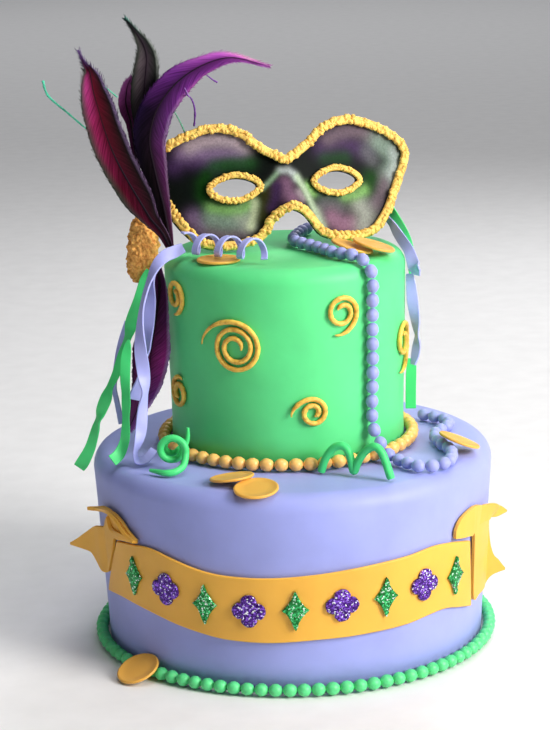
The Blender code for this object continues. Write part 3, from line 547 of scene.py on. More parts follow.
def wallRow(azimuth, bottom, high, off=1.0):
    foot = onLower(azimuth, 60.0, off)
    return (foot.x, foot.y, bottom, high)


def uprightSheet(rows):
    # rows of (x, y, bottom, top) along its foot; it leans out as the tier does
    line = smoothLine(rows, 12)
    plan = headings([(r[0], r[1], 0.0) for r in line])
    side = 1.0 if rows[0][0] > 0 else -1.0

    def placeAt(s, t):
        i = min(int(s * (len(line) - 1) + 0.5), len(line) - 1)
        row, ahead = line[i], plan[i]
        z = row[2] + (row[3] - row[2]) * t
        outward = Vector((ahead.y, -ahead.x, 0.0)) * side
        spread = lowerRadius(z) - lowerRadius(60.0) + banner["thick"] / 2
        return Vector((row[0], row[1], z)) + outward * spread

    return placeAt, len(line) - 1


leftFold = [
    wallRow(-48.5, 89.2, 91.5, 1.1), wallRow(-52.0, 88.4, 96.0, 1.1), wallRow(-55.0, 87.6, 101.0, 1.1),
    wallRow(-58.0, 86.2, 103.5, 1.1), wallRow(-60.3, 85.4, 104.0), wallRow(-62.2, 76.0, 102.0),
    wallRow(-65.0, 65.0, 96.5), wallRow(-67.5, 58.0, 90.0), (-126.2, -46.0, 57.0, 88.4),
    (-129.6, -41.6, 62.0, 87.0),
    (-133.4, -38.0, 67.5, 84.0), (-138.2, -34.6, 68.8, 80.0), (-143.4, -31.4, 69.6, 75.6),
    (-148.5, -28.6, 70.5, 72.0),
]
placeLeft, count = uprightSheet(leftFold)
fondantSheet(
    "bannerLeftTail", placeLeft, count, 8, banner["thick"], bannerFondant, ["banner_left_tail"],
    "fondant_gold", 0.7,
)
rightFold = [
    wallRow(50.0, 87.4, 92.5), wallRow(51.6, 86.6, 98.0), wallRow(54.5, 85.4, 101.4),
    wallRow(59.0, 83.6, 103.3),
    wallRow(60.6, 81.0, 103.0), wallRow(62.2, 39.5, 102.5), wallRow(67.0, 37.5, 99.0),
    wallRow(72.0, 37.5, 95.0),
    wallRow(74.5, 39.5, 86.0), (131.0, -33.0, 44.0, 62.0), (136.0, -31.0, 45.8, 54.5),
    (140.5, -29.5, 46.8, 48.4),
]
placeRight, count = uprightSheet(rightFold)
fondantSheet(
    "bannerRightTail", placeRight, count, 8, banner["thick"], bannerFondant, ["banner_right_tail"],
    "fondant_gold", 0.7,
)


def stripSheet(rows, steps=10):
    # rows of (x, y, z, width, twist) along its middle
    line = smoothLine(rows, steps)
    ahead = headings([r[:3] for r in line])
    frames = []
    for row, heading in zip(line, ahead):
        base = heading.cross(Vector((0.0, 1.0, 0.0)))
        if base.length < 0.2:
            base = heading.cross(Vector((0.0, 0.0, 1.0)))
        base.normalize()
        across = Matrix.Rotation(math.radians(row[4]), 3, heading) @ base
        frames.append((Vector(row[:3]), across, heading.cross(across).normalized(), max(row[3], 0.8) / 2))

    def placeAt(s, t):
        i = min(int(s * (len(line) - 1) + 0.5), len(line) - 1)
        centre, across, normal, half = frames[i]
        return centre + across * half * (2 * t - 1)

    return placeAt, len(line) - 1, frames


leftCurl = [
    (-102, -91.0, 90.8, 4, 90), (-106.7, -85.5, 93, 4.4, 90), (-110.1, -81.1, 95.6, 4.4, 90),
    (-113.2, -76.6, 99.4, 4.4, 90),
    (-116.6, -71.5, 102.2, 4.4, 90), (-120.2, -64.8, 103.4, 4.4, 90), (-124.4, -55.4, 102.4, 4, 90),
    (-128.0, -48.0, 100.4, 3.4, 90), (-132.0, -44.2, 99.4, 2.6, 90), (-136, -42, 98.9, 1.4, 90),
]
leftRoll = [
    (*onLower(-62.4, 99.5, 3.6), 2.6, 0), (*onLower(-61.0, 94.0, 3.9), 3.0, 0),
    (*onLower(-59.0, 91.9, 3.9), 3.0, 0),
    (*onLower(-55.0, 91.5, 3.9), 3.0, 0), (*onLower(-50.0, 91.0, 3.6), 2.2, 0),
]
rightLeaf = [
    (119.6, -61.4, 94.2, 12.4, 0), (125.2, -53.4, 93.9, 12, 0), (130.8, -46.0, 92.7, 11.2, 0),
    (134, -38.4, 90.6, 9, 0),
    (137.6, -34.8, 89.6, 6, 0), (141.5, -32.5, 88.8, 1.2, 0),
]
tailFolds = (
    ("bannerLeftCurl", leftCurl, 2.3), ("bannerLeftRoll", leftRoll, 2.2), ("bannerRightLeaf", rightLeaf, 1.8)
)
for name, rows, thick in tailFolds:
    placeAt, count, frames = stripSheet(rows)
    fondantSheet(name, placeAt, count, 6, thick, bannerFondant, [], "fondant_gold", 0.6)

motifs = {"spacing": 12.6, "count": 9, "thick": 1.6}


def motifPlate(name, kind, azimuth, material, stands, slotName):
    bm = bmesh.new()
    count = 48 if kind == "lozenge" else 64
    verts = bmesh.ops.create_circle(bm, segments=count, radius=1.0, cap_ends=True)["verts"]
    for k, vert in enumerate(verts):
        angle = math.atan2(vert.co.y, vert.co.x)
        if kind == "lozenge":
            reach = 1.0 / (abs(math.cos(angle)) ** 0.8 + abs(math.sin(angle)) ** 0.8) ** 1.25
            vert.co = (8.6 * reach * math.cos(angle), 13.4 * reach * math.sin(angle), 0.0)
        else:
            reach = 7.2 + 3.6 * abs(math.cos(2 * angle)) ** 0.7
            vert.co = (reach * math.cos(angle), reach * math.sin(angle), 0.0)
    plate = bm.faces[:]
    raised = bmesh.ops.extrude_face_region(bm, geom=plate)["geom"]
    bmesh.ops.translate(
        bm, vec=(0, 0, motifs["thick"] - 0.5), verts=[g for g in raised if isinstance(g, bmesh.types.BMVert)]
    )
    head = [g for g in raised if isinstance(g, bmesh.types.BMFace)]
    for width, lift in ((0.5, 0.35), (0.9, 0.25), (1.4, 0.15)):
        bmesh.ops.inset_region(bm, faces=head, thickness=width, depth=0.0)
        bmesh.ops.translate(bm, vec=(0, 0, lift), verts=list({v for f in head for v in f.verts}))
    bmesh.ops.triangulate(bm, faces=head)
    bmesh.ops.subdivide_edges(
        bm, edges=[e for e in bm.edges if e.calc_length() > 1.6], cuts=2, use_grid_fill=True
    )
    bmesh.ops.recalc_face_normals(bm, faces=bm.faces)
    roughen(bm, bm.verts, 0.8, 0.35, azimuth)
    middle = sum(bannerEdges(azimuth)) / 2
    lean = math.degrees(
        math.atan2(tiers["lowerHead"] - tiers["lowerFoot"], tiers["lowerHeight"] - tiers["lowerRound"])
    )
    spot = onLower(azimuth, middle, 3.2)
    turned = Matrix.Rotation(math.radians(azimuth), 4, "Z") @ Matrix.Rotation(
        math.radians(90.0 + lean), 4, "X"
    )
    bmesh.ops.transform(bm, matrix=Matrix.Translation(spot) @ turned, verts=bm.verts)
    return finishPiece(name, bm, material, [stands], slotName, 60)


for i in range(motifs["count"]):
    kind = "lozenge" if i % 2 == 0 else "quatrefoil"
    azimuth = (i - (motifs["count"] - 1) / 2) * motifs["spacing"]
    motifPlate(
        f"{kind}Motif{i + 1}", kind, azimuth, greenGlitter if i % 2 == 0 else purpleGlitter,
        f"motif_{kind}_{i + 1}", "glitter_green" if i % 2 == 0 else "glitter_purple",
    )
print("banner hung")

# piped gold swirls
# each swirl: azimuth, height, outer and inner radius, tail, start and sweep in degrees
swirlForm = {"rope": 1.65, "curve": 1.4, "steps": 150}
swirls = {
    "swirl_large": (-23.8, 212.0, 16.6, 4.0, 9.0, 180.0, -920.0),
    "swirl_high_right": (26.3, 233.5, 10.9, 3.6, 4.4, -110.0, 620.0),
    "swirl_low_front": (11.8, 169.5, 9.3, 2.4, 5.0, 188.0, -620.0),
    "swirl_high_left": (-61.6, 239.5, 9.8, 3.2, 3.0, -100.0, 560.0),
    "swirl_low_left": (-62.6, 174.3, 9.8, 3.2, 1.5, 60.0, 560.0),
    "swirl_right": (73.5, 203.4, 13.4, 3.6, 8.5, -112.0, 580.0),
    "swirl_back_right": (128.0, 175.0, 10.3, 3.6, 4.4, 180.0, -600.0),
    "swirl_back": (178.0, 215.0, 13.5, 3.8, 7.0, -100.0, 640.0),
    "swirl_back_left": (-128.0, 180.0, 10.0, 3.4, 4.0, 190.0, -600.0),
}


def pipedSwirl(node, azimuth, height, outer, inner, tail, start, sweep):
    line, ups, count = [], [], swirlForm["steps"]
    for i in range(count + 1):
        t = i / count
        radius = outer + (inner - outer) * t ** swirlForm["curve"] + tail * math.exp(
            -((abs(sweep) * t / 45.0) ** 1.5)
        )
        angle = math.radians(start + sweep * t)
        shift = math.degrees(radius * math.cos(angle) / tiers["upperHead"])
        lift = swirlForm["rope"] * 0.86
        line.append(onUpper(azimuth + shift, height + radius * math.sin(angle), lift))
        ups.append(onUpper(azimuth + shift, height, 1.0) - onUpper(azimuth + shift, height, 0.0))
    radii = []
    for i in range(count + 1):
        ends = min(1.0, 0.3 + 12.0 * min(i, count - i) / count)
        radii.append(
            swirlForm["rope"] * 0.97 * ends * (1.0 + 0.10 * noise.noise(Vector((i / 3.0, azimuth, 0.0))))
        )
    bm = bmesh.new()
    ropeInto(bm, line, radii, ups, 10)
    bmesh.ops.recalc_face_normals(bm, faces=bm.faces)
    roughen(bm, bm.verts, 1.3, 0.28, azimuth)
    return finishPiece(pieceName(node), bm, goldSwirl, [node], "piped_gold")


for node, numbers in swirls.items():
    pipedSwirl(node, *numbers)
print("swirls piped")

# the half mask
mask = {
    "x": 2.5, "y": 2.0, "z": top + 1.2, "yaw": 15.0, "roll": 0.8, "lean": 15.0, "sag": 16.0,
    "halfWidth": 80.0,
    "thick": 2.6, "noseHigh": 7.0, "noseWide": 11.0, "eyeU": 35.0, "eyeV": 41.5, "eyeHalfU": 14.5,
    "eyeHalfV": 6.2,
    "edgeInset": 4.2, "grid": 0.75,
}
maskHalf = [
    (0.0, 61.5), (13.0, 69.5), (27.0, 81.0), (46.0, 86.0), (69.0, 80.5), (88.0, 69.5), (93.5, 56.0),
    (83.5, 35.0), (72.5, 15.5), (58.0, 2.3), (36.0, 0.0), (19.0, 4.5), (8.5, 17.5), (0.0, 22.0),
]
maskFrame = (
    Matrix.Translation((mask["x"], mask["y"], mask["z"]))
    @ Matrix.Rotation(math.radians(mask["yaw"]), 4, "Z")
    @ Matrix.Rotation(-math.radians(mask["lean"]), 4, "X")
    @ Matrix.Rotation(-math.radians(mask["roll"]), 4, "Y")
    @ Matrix.Rotation(math.radians(90), 4, "X")
)


def onMask(u, v, w):
    nose = mask["noseHigh"] * math.exp(-((u / mask["noseWide"]) ** 2)) * max(0.0, min(1.0, (66.0 - v) / 36.0))
    return maskFrame @ Vector((u, v, w + nose - mask["sag"] * (u / mask["halfWidth"]) ** 2))


def maskEdge(steps):
    half = smoothLine(maskHalf, steps)
    return half + [(-u, v) for u, v in reversed(half[1:-1])]


def insetLoop(loop, distance):
    result, count = [], len(loop)
    for i in range(count):
        ahead = (Vector(loop[(i + 1) % count]) - Vector(loop[i - 1])).normalized()
        result.append((loop[i][0] + ahead.y * distance, loop[i][1] - ahead.x * distance))
    return result


def eyeLoop(side, halfU, halfV, count):
    loop = []
    for k in range(count):
        angle = 2 * math.pi * k / count
        across = math.cos(angle)
        loop.append((
            side * mask["eyeU"] + halfU * across,
            mask["eyeV"] + halfV * math.sin(angle) * (1 - 0.25 * across**2),
        ))
    return loop


paints = {
    "black": (0.003, 0.005, 0.004), "grey": (0.34, 0.27, 0.31), "purple": (0.16, 0.10, 0.20),
    "plum": (0.045, 0.020, 0.070),
    "green": (0.008, 0.060, 0.010), "leaf": (0.004, 0.0375, 0.003), "lime": (0.20, 0.42, 0.12),
    "sage": (0.16, 0.22, 0.18),
    "pale": (0.26, 0.27, 0.24), "mauve": (0.16, 0.08, 0.14), "lilac": (0.12, 0.085, 0.11),
    "olive": (0.030, 0.030, 0.002),
    # two pale greens, on this line and the next, are painted highlight for the lit sides of the nose; the
    # silver on this line also serves as painted highlight on the nose bridge
    "cream": (0.45, 0.50, 0.33), "mint": (0.24, 0.38, 0.24), "silverAndNoseHighlight": (0.34, 0.38, 0.38),
    "shine": (0.36, 0.46, 0.32),
    "dusk": (0.10, 0.10, 0.11), "rose": (0.24, 0.12, 0.19),
}
# airbrushed strokes, one over the other: paint, width, strength, then its line in the mask's own plane; the
# last three strokes are painted highlight along the nose ridge and across its bridge
strokes = [
    ("plum", 6.5, 0.9, [(-72, 60), (-66, 63.5), (-58, 62.6), (-48, 60)]),
    ("plum", 7.2, 0.9, [(27, 64), (33, 66), (40, 67), (50, 64), (60, 61)]),
    ("purple", 5.2, 0.95, [(-66, 67.5), (-57.8, 67.9), (-49.8, 65.4), (-40.7, 65.2), (-29, 63.7)]),
    ("grey", 5.2, 0.95, [(-60.6, 71.5), (-52, 73.9), (-43, 74.3), (-33.4, 72.7), (-24.7, 67.9)]),
    ("lilac", 5.2, 0.95, [(32.2, 69.5), (39.8, 72.5), (49, 74.2), (59.4, 72.5), (68.2, 67.6)]),
    ("sage", 7.8, 0.95, [(69.6, 66.2), (77.7, 60.6), (81.9, 55), (79.5, 48.3), (73.9, 41.6)]),
    ("lilac", 6.5, 0.9, [(71, 38.3), (66.4, 32.4), (61.7, 25)]),
    ("dusk", 5.2, 0.7, [(59.5, 59.7), (63.5, 54)]),
    ("silverAndNoseHighlight", 4.0, 0.6, [(81, 59), (82, 52), (77, 44)]),
    ("green", 5.6, 0.75, [(-46, 57.4), (-36, 58.4), (-24.3, 58)]),
    ("green", 5.0, 0.5, [(28.5, 56.8), (43.3, 56.9)]),
    ("leaf", 4.6, 0.8, [(-52, 52), (-55, 47), (-56, 39), (-54, 32)]),
    ("leaf", 6.5, 0.95, [(61.3, 42), (59, 36), (53.3, 32.2)]),
    ("purple", 5.9, 0.8, [(-62.6, 24.7), (-58, 18.9)]),
    ("lilac", 5.9, 0.85, [(-52, 14.9), (-43, 12.7), (-34, 13)]),
    ("sage", 6.5, 0.95, [(-51.3, 22.8), (-41.2, 19.8), (-30.7, 20.7)]),
    ("pale", 5.2, 0.8, [(-33, 23), (-29, 17.3)]),
    ("lime", 4.2, 0.7, [(-50.6, 30), (-41.8, 27.6), (-32.8, 26.7), (-24.5, 30.1)]),
    ("cream", 3.2, 0.85, [(-22.5, 30.6), (-23.9, 22.8), (-26.6, 15.7)]),
    ("green", 5.2, 0.8, [(23.7, 31.8), (32.9, 29.9)]),
    ("dusk", 6.5, 0.8, [(25.3, 26.3), (34.5, 24.4)]),
    ("rose", 6.5, 0.9, [(29.3, 16.7), (36, 12.3), (43.4, 11.8)]),
    ("pale", 7.2, 0.95, [(50.8, 24.2), (54.6, 17.3), (52.2, 10)]),
    ("pale", 3.0, 0.7, [(19.8, 22.6), (23, 13)]),
    ("lime", 4.0, 0.7, [(40.3, 30.8), (48.6, 31), (55, 34.2)]),
    ("lime", 3.0, 0.8, [(13.5, 39), (17.4, 34)]),
    ("olive", 5.2, 0.7, [(-14.7, 37), (-15.6, 27.9), (-18.9, 20.3)]),
    ("mauve", 6.0, 0.95, [(-2.4, 41), (-2, 34.9), (0.9, 31.2)]),
    ("plum", 3.6, 0.9, [(-7.5, 40.3), (-9, 32.4), (-12, 26.2)]),
    ("grey", 3.0, 0.6, [(6.8, 35), (9.3, 31)]),
    # painted highlight: pale light down the left side of the nose, across its bridge and down its right side
    ("mint", 1.6, 0.75, [(-17, 39.4), (-11.4, 44), (-5, 50)]),
    ("silverAndNoseHighlight", 2.6, 0.95, [(-3.6, 50.6), (1, 50.2), (4.9, 47.3), (6, 44.6)]),
    ("shine", 2.4, 0.95, [(6.8, 45.2), (11, 37.7), (14.6, 29.6), (18, 20.7), (22, 10.5)]),
]


def airbrushAndHighlight(u, v):
    # black sugar with soft strokes of colour over it, some of them painted highlight along the nose
    colour = Vector(paints["black"])
    for paint, width, strength, line in strokes:
        nearest = 1e9
        for (u0, v0), (u1, v1) in zip(line, line[1:]):
            du, dv = u1 - u0, v1 - v0
            t = max(0.0, min(1.0, ((u - u0) * du + (v - v0) * dv) / (du * du + dv * dv)))
            nearest = min(nearest, (u - u0 - t * du) ** 2 + (v - v0 - t * dv) ** 2)
        colour = colour.lerp(Vector(paints[paint]), strength * math.exp(-nearest / width**2))
    return colour


def makeMask():
    bm = bmesh.new()
    edges = []
    eyes = [eyeLoop(side, mask["eyeHalfU"], mask["eyeHalfV"], 40) for side in (-1, 1)]
    for loop in [insetLoop(maskEdge(6), 1.6)] + eyes:
        verts = [bm.verts.new((u, v, 0.0)) for u, v in loop]
        edges += [bm.edges.new((verts[i], verts[(i + 1) % len(verts)])) for i in range(len(verts))]
    filled = bmesh.ops.triangle_fill(bm, edges=edges, use_beauty=True, use_dissolve=True)["geom"]
    faces = [g for g in filled if isinstance(g, bmesh.types.BMFace)]
    pushed = bmesh.ops.extrude_face_region(bm, geom=faces, use_keep_orig=True)["geom"]
    bmesh.ops.translate(
        bm, vec=(0, 0, mask["thick"]), verts=[g for g in pushed if isinstance(g, bmesh.types.BMVert)]
    )
    for value in range(-123, 124):
        everything = bm.verts[:] + bm.edges[:] + bm.faces[:]
        bmesh.ops.bisect_plane(
            bm, geom=everything, dist=1e-4, plane_co=(value * mask["grid"] + 0.37, 0, 0), plane_no=(1, 0, 0)
        )
    for value in range(1, 115):
        everything = bm.verts[:] + bm.edges[:] + bm.faces[:]
        bmesh.ops.bisect_plane(
            bm, geom=everything, dist=1e-4, plane_co=(0, value * mask["grid"] + 0.21, 0), plane_no=(0, 1, 0)
        )
    # this colour attribute holds the airbrushed paint and the painted highlight along the nose
    painted = bm.verts.layers.float_color.new("airbrushAndHighlight")
    bmesh.ops.recalc_face_normals(bm, faces=bm.faces)
    for vert in bm.verts:
        u, v, w = vert.co
        colour = airbrushAndHighlight(u, v) if w > 0.5 else Vector((0.03, 0.035, 0.03))
        vert[painted] = (*colour, 1.0)
        vert.co = onMask(u, v, w)
    return finishPiece("maskShell", bm, maskPaint, ["mask_shell"], "mask_airbrushed", 45)


makeMask()


def pipedShells(node, loop, half, high, pitch, seed):
    # small shells from a star tip, leaning to either side, over a plain rope that closes the gaps
    bm = bmesh.new()
    flatLoop = [Vector((u, v, 0.0)) for u, v in loop]
    spots = evenly(flatLoop, pitch, closed=True)
    ahead = headings(spots, closed=True)
    base = mask["thick"] + 0.9
    line = [onMask(p.x, p.y, base + high * 0.36) for p in spots]
    ups = [onMask(p.x, p.y, base + 1) - onMask(p.x, p.y, base) for p in spots]
    ropeInto(bm, line, half * 0.72, ups, 8, closed=True, flat=high * 0.5 / half)
    dice = random.Random(seed)
    for k, (spot, heading) in enumerate(zip(spots, ahead)):
        hand = 1 if dice.random() < 0.5 else -1
        side = Vector((heading.y, -heading.x, 0.0)) * hand
        slant = math.radians(dice.uniform(40, 68))
        forward = heading * math.cos(slant) + side * math.sin(slant)
        at = spot + side * dice.uniform(0.26, 0.42) * half
        middle = onMask(at.x, at.y, base + high * dice.uniform(0.40, 0.48))
        reach = (onMask(at.x + forward.x, at.y + forward.y, base + high * 0.44) - middle).normalized()
        up = (onMask(at.x, at.y, base + 1) - onMask(at.x, at.y, base)).normalized()
        across = up.cross(reach).normalized()
        size = dice.uniform(0.9, 1.1)
        turned = Matrix((across, reach, up)).transposed().to_4x4()
        scale = Matrix.Diagonal((half * 0.42 * size, half * 0.6 * size, high * 0.48 * size, 1))
        made = bmesh.ops.create_icosphere(
            bm, subdivisions=2, radius=1.0, matrix=Matrix.Translation(middle) @ turned @ scale
        )
        roughen(bm, made["verts"], half * 0.5, half * 0.08, dice.uniform(0, 50))
    bmesh.ops.recalc_face_normals(bm, faces=bm.faces)
    return finishPiece(pieceName(node), bm, goldPiping, [node], "piped_gold")


# half width, height and pitch of the piping
piping = {"edge": (4.0, 5.0, 1.7), "eye": (2.8, 3.9, 1.5)}
pipedShells("mask_edge_piping", insetLoop(maskEdge(8), mask["edgeInset"]), *piping["edge"], 3)
for node, side in (("mask_left_eye_piping", -1), ("mask_right_eye_piping", 1)):
    loop = eyeLoop(side, mask["eyeHalfU"] + 2.4, mask["eyeHalfV"] + 2.2, 48)
    pipedShells(node, loop, *piping["eye"], side + 9)
print("mask painted and piped")

# plumes: (x, y, z, width, twist) along the quill
# tints run along the quill from foot to tip; each runs across the vane from its left edge to its right edge
plumes = {
    "burgundy": {
        "node": "feather_burgundy", "slot": "feather_burgundy", "fringe": 1.9,
        "rows": [
            (-77.6, -21, 269.8, 5, 0), (-82, -20, 278.9, 7, 0), (-88.9, -19, 287.5, 11, 0),
            (-95.4, -18, 298.6, 19, 0), (-102.5, -16, 310.9, 21.5, 0), (-109, -14, 323.2, 22.6, 0),
            (-114.2, -13, 335.6, 23.5, 0), (-118.4, -11, 348.4, 22.4, 0), (-121.2, -10, 359.3, 21.5, 0),
            (-123.9, -8, 369.5, 17.5, 0), (-125.3, -6, 378.4, 12, 0), (-126.5, -5, 383.4, 6, 0),
            (-130, -3, 388.2, 2.4, 0), (-133.4, -1, 396.1, 0.8, 0),
        ],
        "tints": [
            (0, [
                (0.06, 0.02, 0.05), (0.05, 0.006, 0.02), (0.02, 0.003, 0.008), (0.006, 0.002, 0.004),
                (0.12, 0.06, 0.12),
            ]),
            (0.3, [
                (0.036, 0.056, 0.04), (0.086, 0.003, 0.016), (0.036, 0.003, 0.01), (0.003, 0.002, 0.002),
                (0.115, 0.072, 0.144),
            ]),
            (0.55, [
                (0.05, 0.072, 0.056), (0.299, 0.018, 0.096), (0.065, 0.003, 0.01), (0.003, 0.002, 0.002),
                (0.144, 0.096, 0.192),
            ]),
            (0.72, [
                (0.065, 0.088, 0.072), (0.461, 0.044, 0.224), (0.086, 0.003, 0.013), (0.004, 0.002, 0.003),
                (0.173, 0.112, 0.24),
            ]),
            (0.86, [
                (0.058, 0.08, 0.064), (0.115, 0.006, 0.024), (0.043, 0.003, 0.01), (0.009, 0.002, 0.006),
                (0.158, 0.096, 0.24),
            ]),
            (1, [
                (0.101, 0.064, 0.176), (0.115, 0.056, 0.208), (0.072, 0.032, 0.144), (0.115, 0.056, 0.208),
                (0.173, 0.112, 0.272),
            ]),
        ],
    },
    "purple": {
        "node": "feather_purple", "slot": "feather_purple", "fringe": 1.6,
        "rows": [
            (-76.9, -11, 267.9, 4, 0), (-79.1, -9, 282.3, 6.7, 0), (-81.4, -8, 296, 9.5, 0),
            (-84.2, -8, 308.7, 13.5, 0), (-87.3, -8, 324.5, 18.5, 0), (-88.8, -8, 336.3, 21, 0),
            (-87.1, -8, 347.3, 22.7, 0), (-82.9, -7, 358.2, 22, 0), (-75.8, -6, 368.3, 20.7, 0),
            (-66.6, -4, 376.9, 18.5, 0), (-55.4, -2, 383.6, 13, 0), (-43.7, 0, 387.8, 9.5, 0),
            (-34.6, 2, 388.8, 6, 0), (-25.6, 3, 387.3, 3, 0), (-17.2, 4, 384.6, 2, 0),
            (-9.5, 5, 382.3, 0.8, 0),
        ],
        "tints": [
            (0, [
                (0.004, 0.002, 0.004), (0.004, 0.002, 0.003), (0.01, 0.003, 0.006), (0.04, 0.006, 0.02),
                (0.2, 0.1, 0.18),
            ]),
            (0.25, [
                (0.004, 0.002, 0.006), (0.003, 0.002, 0.003), (0.008, 0.003, 0.006), (0.06, 0.01, 0.06),
                (0.24, 0.14, 0.26),
            ]),
            (0.45, [
                (0.012, 0.004, 0.03), (0.006, 0.002, 0.012), (0.006, 0.002, 0.008), (0.07, 0.014, 0.1),
                (0.24, 0.14, 0.3),
            ]),
            (0.6, [
                (0.152, 0.032, 0.218), (0.095, 0.015, 0.15), (0.027, 0.005, 0.041), (0.114, 0.015, 0.163),
                (0.342, 0.086, 0.326),
            ]),
            (0.75, [
                (0.57, 0.151, 0.571), (0.304, 0.054, 0.354), (0.076, 0.011, 0.095), (0.133, 0.022, 0.177),
                (0.266, 0.065, 0.299),
            ]),
            (0.86, [
                (0.76, 0.367, 0.578), (0.646, 0.151, 0.578), (0.19, 0.032, 0.218), (0.228, 0.043, 0.272),
                (0.342, 0.086, 0.381),
            ]),
            (1, [
                (0.346, 0.091, 0.343), (0.266, 0.06, 0.286), (0.16, 0.038, 0.19), (0.213, 0.053, 0.248),
                (0.293, 0.083, 0.324),
            ]),
        ],
    },
    "dark": {
        "node": "feather_dark", "slot": "feather_dark", "fringe": 1.5,
        "rows": [
            (-81.1, -3, 271.9, 4, 0), (-83.7, -3, 294, 6, 0), (-89.4, -3, 317.2, 8, 0),
            (-92.4, -2, 336.9, 10, 0), (-92.9, 0, 354.9, 14.7, 0), (-91.8, 2, 369, 17.3, 0),
            (-90.2, 4, 381.8, 16.7, 0), (-89.7, 6, 390.6, 13.3, 0), (-91.8, 8, 398.2, 8.7, 0),
            (-96.6, 10, 405.9, 4, 0), (-101.3, 11, 412.4, 1.6, 0), (-103.6, 12, 415, 0.8, 0),
        ],
        "tints": [
            (0, [
                (0.004, 0.003, 0.004), (0.004, 0.003, 0.004), (0.006, 0.004, 0.006), (0.004, 0.003, 0.004),
                (0.012, 0.012, 0.012),
            ]),
            (0.35, [
                (0.008, 0.01, 0.008), (0.02, 0.014, 0.018), (0.012, 0.008, 0.012), (0.004, 0.004, 0.004),
                (0.05, 0.06, 0.05),
            ]),
            (0.6, [
                (0.03, 0.04, 0.03), (0.09, 0.07, 0.08), (0.03, 0.02, 0.028), (0.006, 0.008, 0.006),
                (0.24, 0.26, 0.24),
            ]),
            (0.78, [
                (0.04, 0.05, 0.04), (0.06, 0.06, 0.055), (0.03, 0.022, 0.03), (0.006, 0.01, 0.008),
                (0.26, 0.3, 0.27),
            ]),
            (0.9, [
                (0.02, 0.03, 0.03), (0.015, 0.015, 0.016), (0.008, 0.008, 0.008), (0.01, 0.03, 0.024),
                (0.16, 0.34, 0.28),
            ]),
            (1, [
                (0.02, 0.09, 0.08), (0.02, 0.09, 0.08), (0.02, 0.06, 0.05), (0.03, 0.14, 0.11),
                (0.1, 0.34, 0.28),
            ]),
        ],
    },
    "pink": {
        "node": "feather_pink", "slot": "feather_purple", "fringe": 0.9,
        "rows": [
            (-98.4, 12, 312, 3.4, 0), (-99.8, 11, 329.7, 5, 0), (-101.6, 9.5, 346.8, 7, 0),
            (-103.3, 8.5, 353.9, 9.5, 0), (-104.4, 8.5, 360.3, 10, 0), (-104, 9, 366.1, 8.5, 0),
            (-102.5, 9, 372.5, 6, 0), (-99.8, 10, 377.5, 1.2, 0),
        ],
        "tints": [
            (0, [
                (0.02, 0.004, 0.02), (0.02, 0.004, 0.02), (0.012, 0.003, 0.01), (0.02, 0.004, 0.02),
                (0.03, 0.008, 0.03),
            ]),
            (0.5, [
                (0.16, 0.03, 0.13), (0.13, 0.02, 0.1), (0.08, 0.012, 0.06), (0.11, 0.018, 0.09),
                (0.12, 0.03, 0.11),
            ]),
            (0.8, [
                (0.34, 0.1, 0.32), (0.32, 0.07, 0.28), (0.2, 0.04, 0.17), (0.27, 0.06, 0.22),
                (0.28, 0.08, 0.25),
            ]),
            (1, [
                (0.3, 0.1, 0.3), (0.34, 0.1, 0.32), (0.24, 0.06, 0.22), (0.28, 0.07, 0.26), (0.28, 0.08, 0.28)
            ]),
        ],
    },
    "hanging": {
        "node": "feather_hanging", "slot": "feather_purple", "fringe": 1.1,
        "rows": [
            (-85.3, -21, 255.3, 5, 0), (-84.6, -22, 244.2, 9, 0), (-86, -23.5, 231.2, 14, 0),
            (-88.7, -25, 216.2, 20, 0), (-91.1, -25.5, 202.2, 25, 0), (-92.9, -26, 189.5, 23, 0),
            (-95.5, -27, 177.6, 19, 0), (-100.4, -29, 165.3, 13, 0), (-106, -31, 153, 8, 0),
            (-109.5, -32, 146.5, 2, 0),
        ],
        "tints": [
            (0, [
                (0.0264, 0.0066, 0.022), (0.0308, 0.0066, 0.0264), (0.022, 0.0066, 0.0176),
                (0.044, 0.0088, 0.044), (0.308, 0.176, 0.352),
            ]),
            (0.3, [
                (0.044, 0.0088, 0.0352), (0.066, 0.011, 0.066), (0.0352, 0.0066, 0.0264),
                (0.088, 0.0132, 0.088), (0.44, 0.264, 0.528),
            ]),
            (0.5, [
                (0.088, 0.0176, 0.088), (0.198, 0.022, 0.132), (0.066, 0.0088, 0.044), (0.352, 0.0308, 0.242),
                (0.484, 0.308, 0.66),
            ]),
            (0.7, [
                (0.066, 0.0176, 0.066), (0.088, 0.0132, 0.066), (0.044, 0.0088, 0.0352),
                (0.11, 0.0264, 0.154), (0.44, 0.264, 0.572),
            ]),
            (1, [
                (0.132, 0.044, 0.176), (0.11, 0.033, 0.132), (0.066, 0.022, 0.088), (0.132, 0.044, 0.198),
                (0.352, 0.22, 0.484),
            ]),
        ],
    },
}

# where the five tints of a row stand across the vane
vaneStops = (0.0, 0.22, 0.5, 0.88, 1.0)


def tintAt(plumeSet, s, t):
    def across(row):
        i = 0
        while i < len(vaneStops) - 2 and t > vaneStops[i + 1]:
            i += 1
        return Vector(row[i]).lerp(Vector(row[i + 1]), (t - vaneStops[i]) / (vaneStops[i + 1] - vaneStops[i]))

    stops = plumeSet["tints"]
    for (start, low), (end, high) in zip(stops, stops[1:]):
        if s <= end:
            return across(low).lerp(across(high), max(0.0, s - start) / (end - start))
    return across(stops[-1][1])


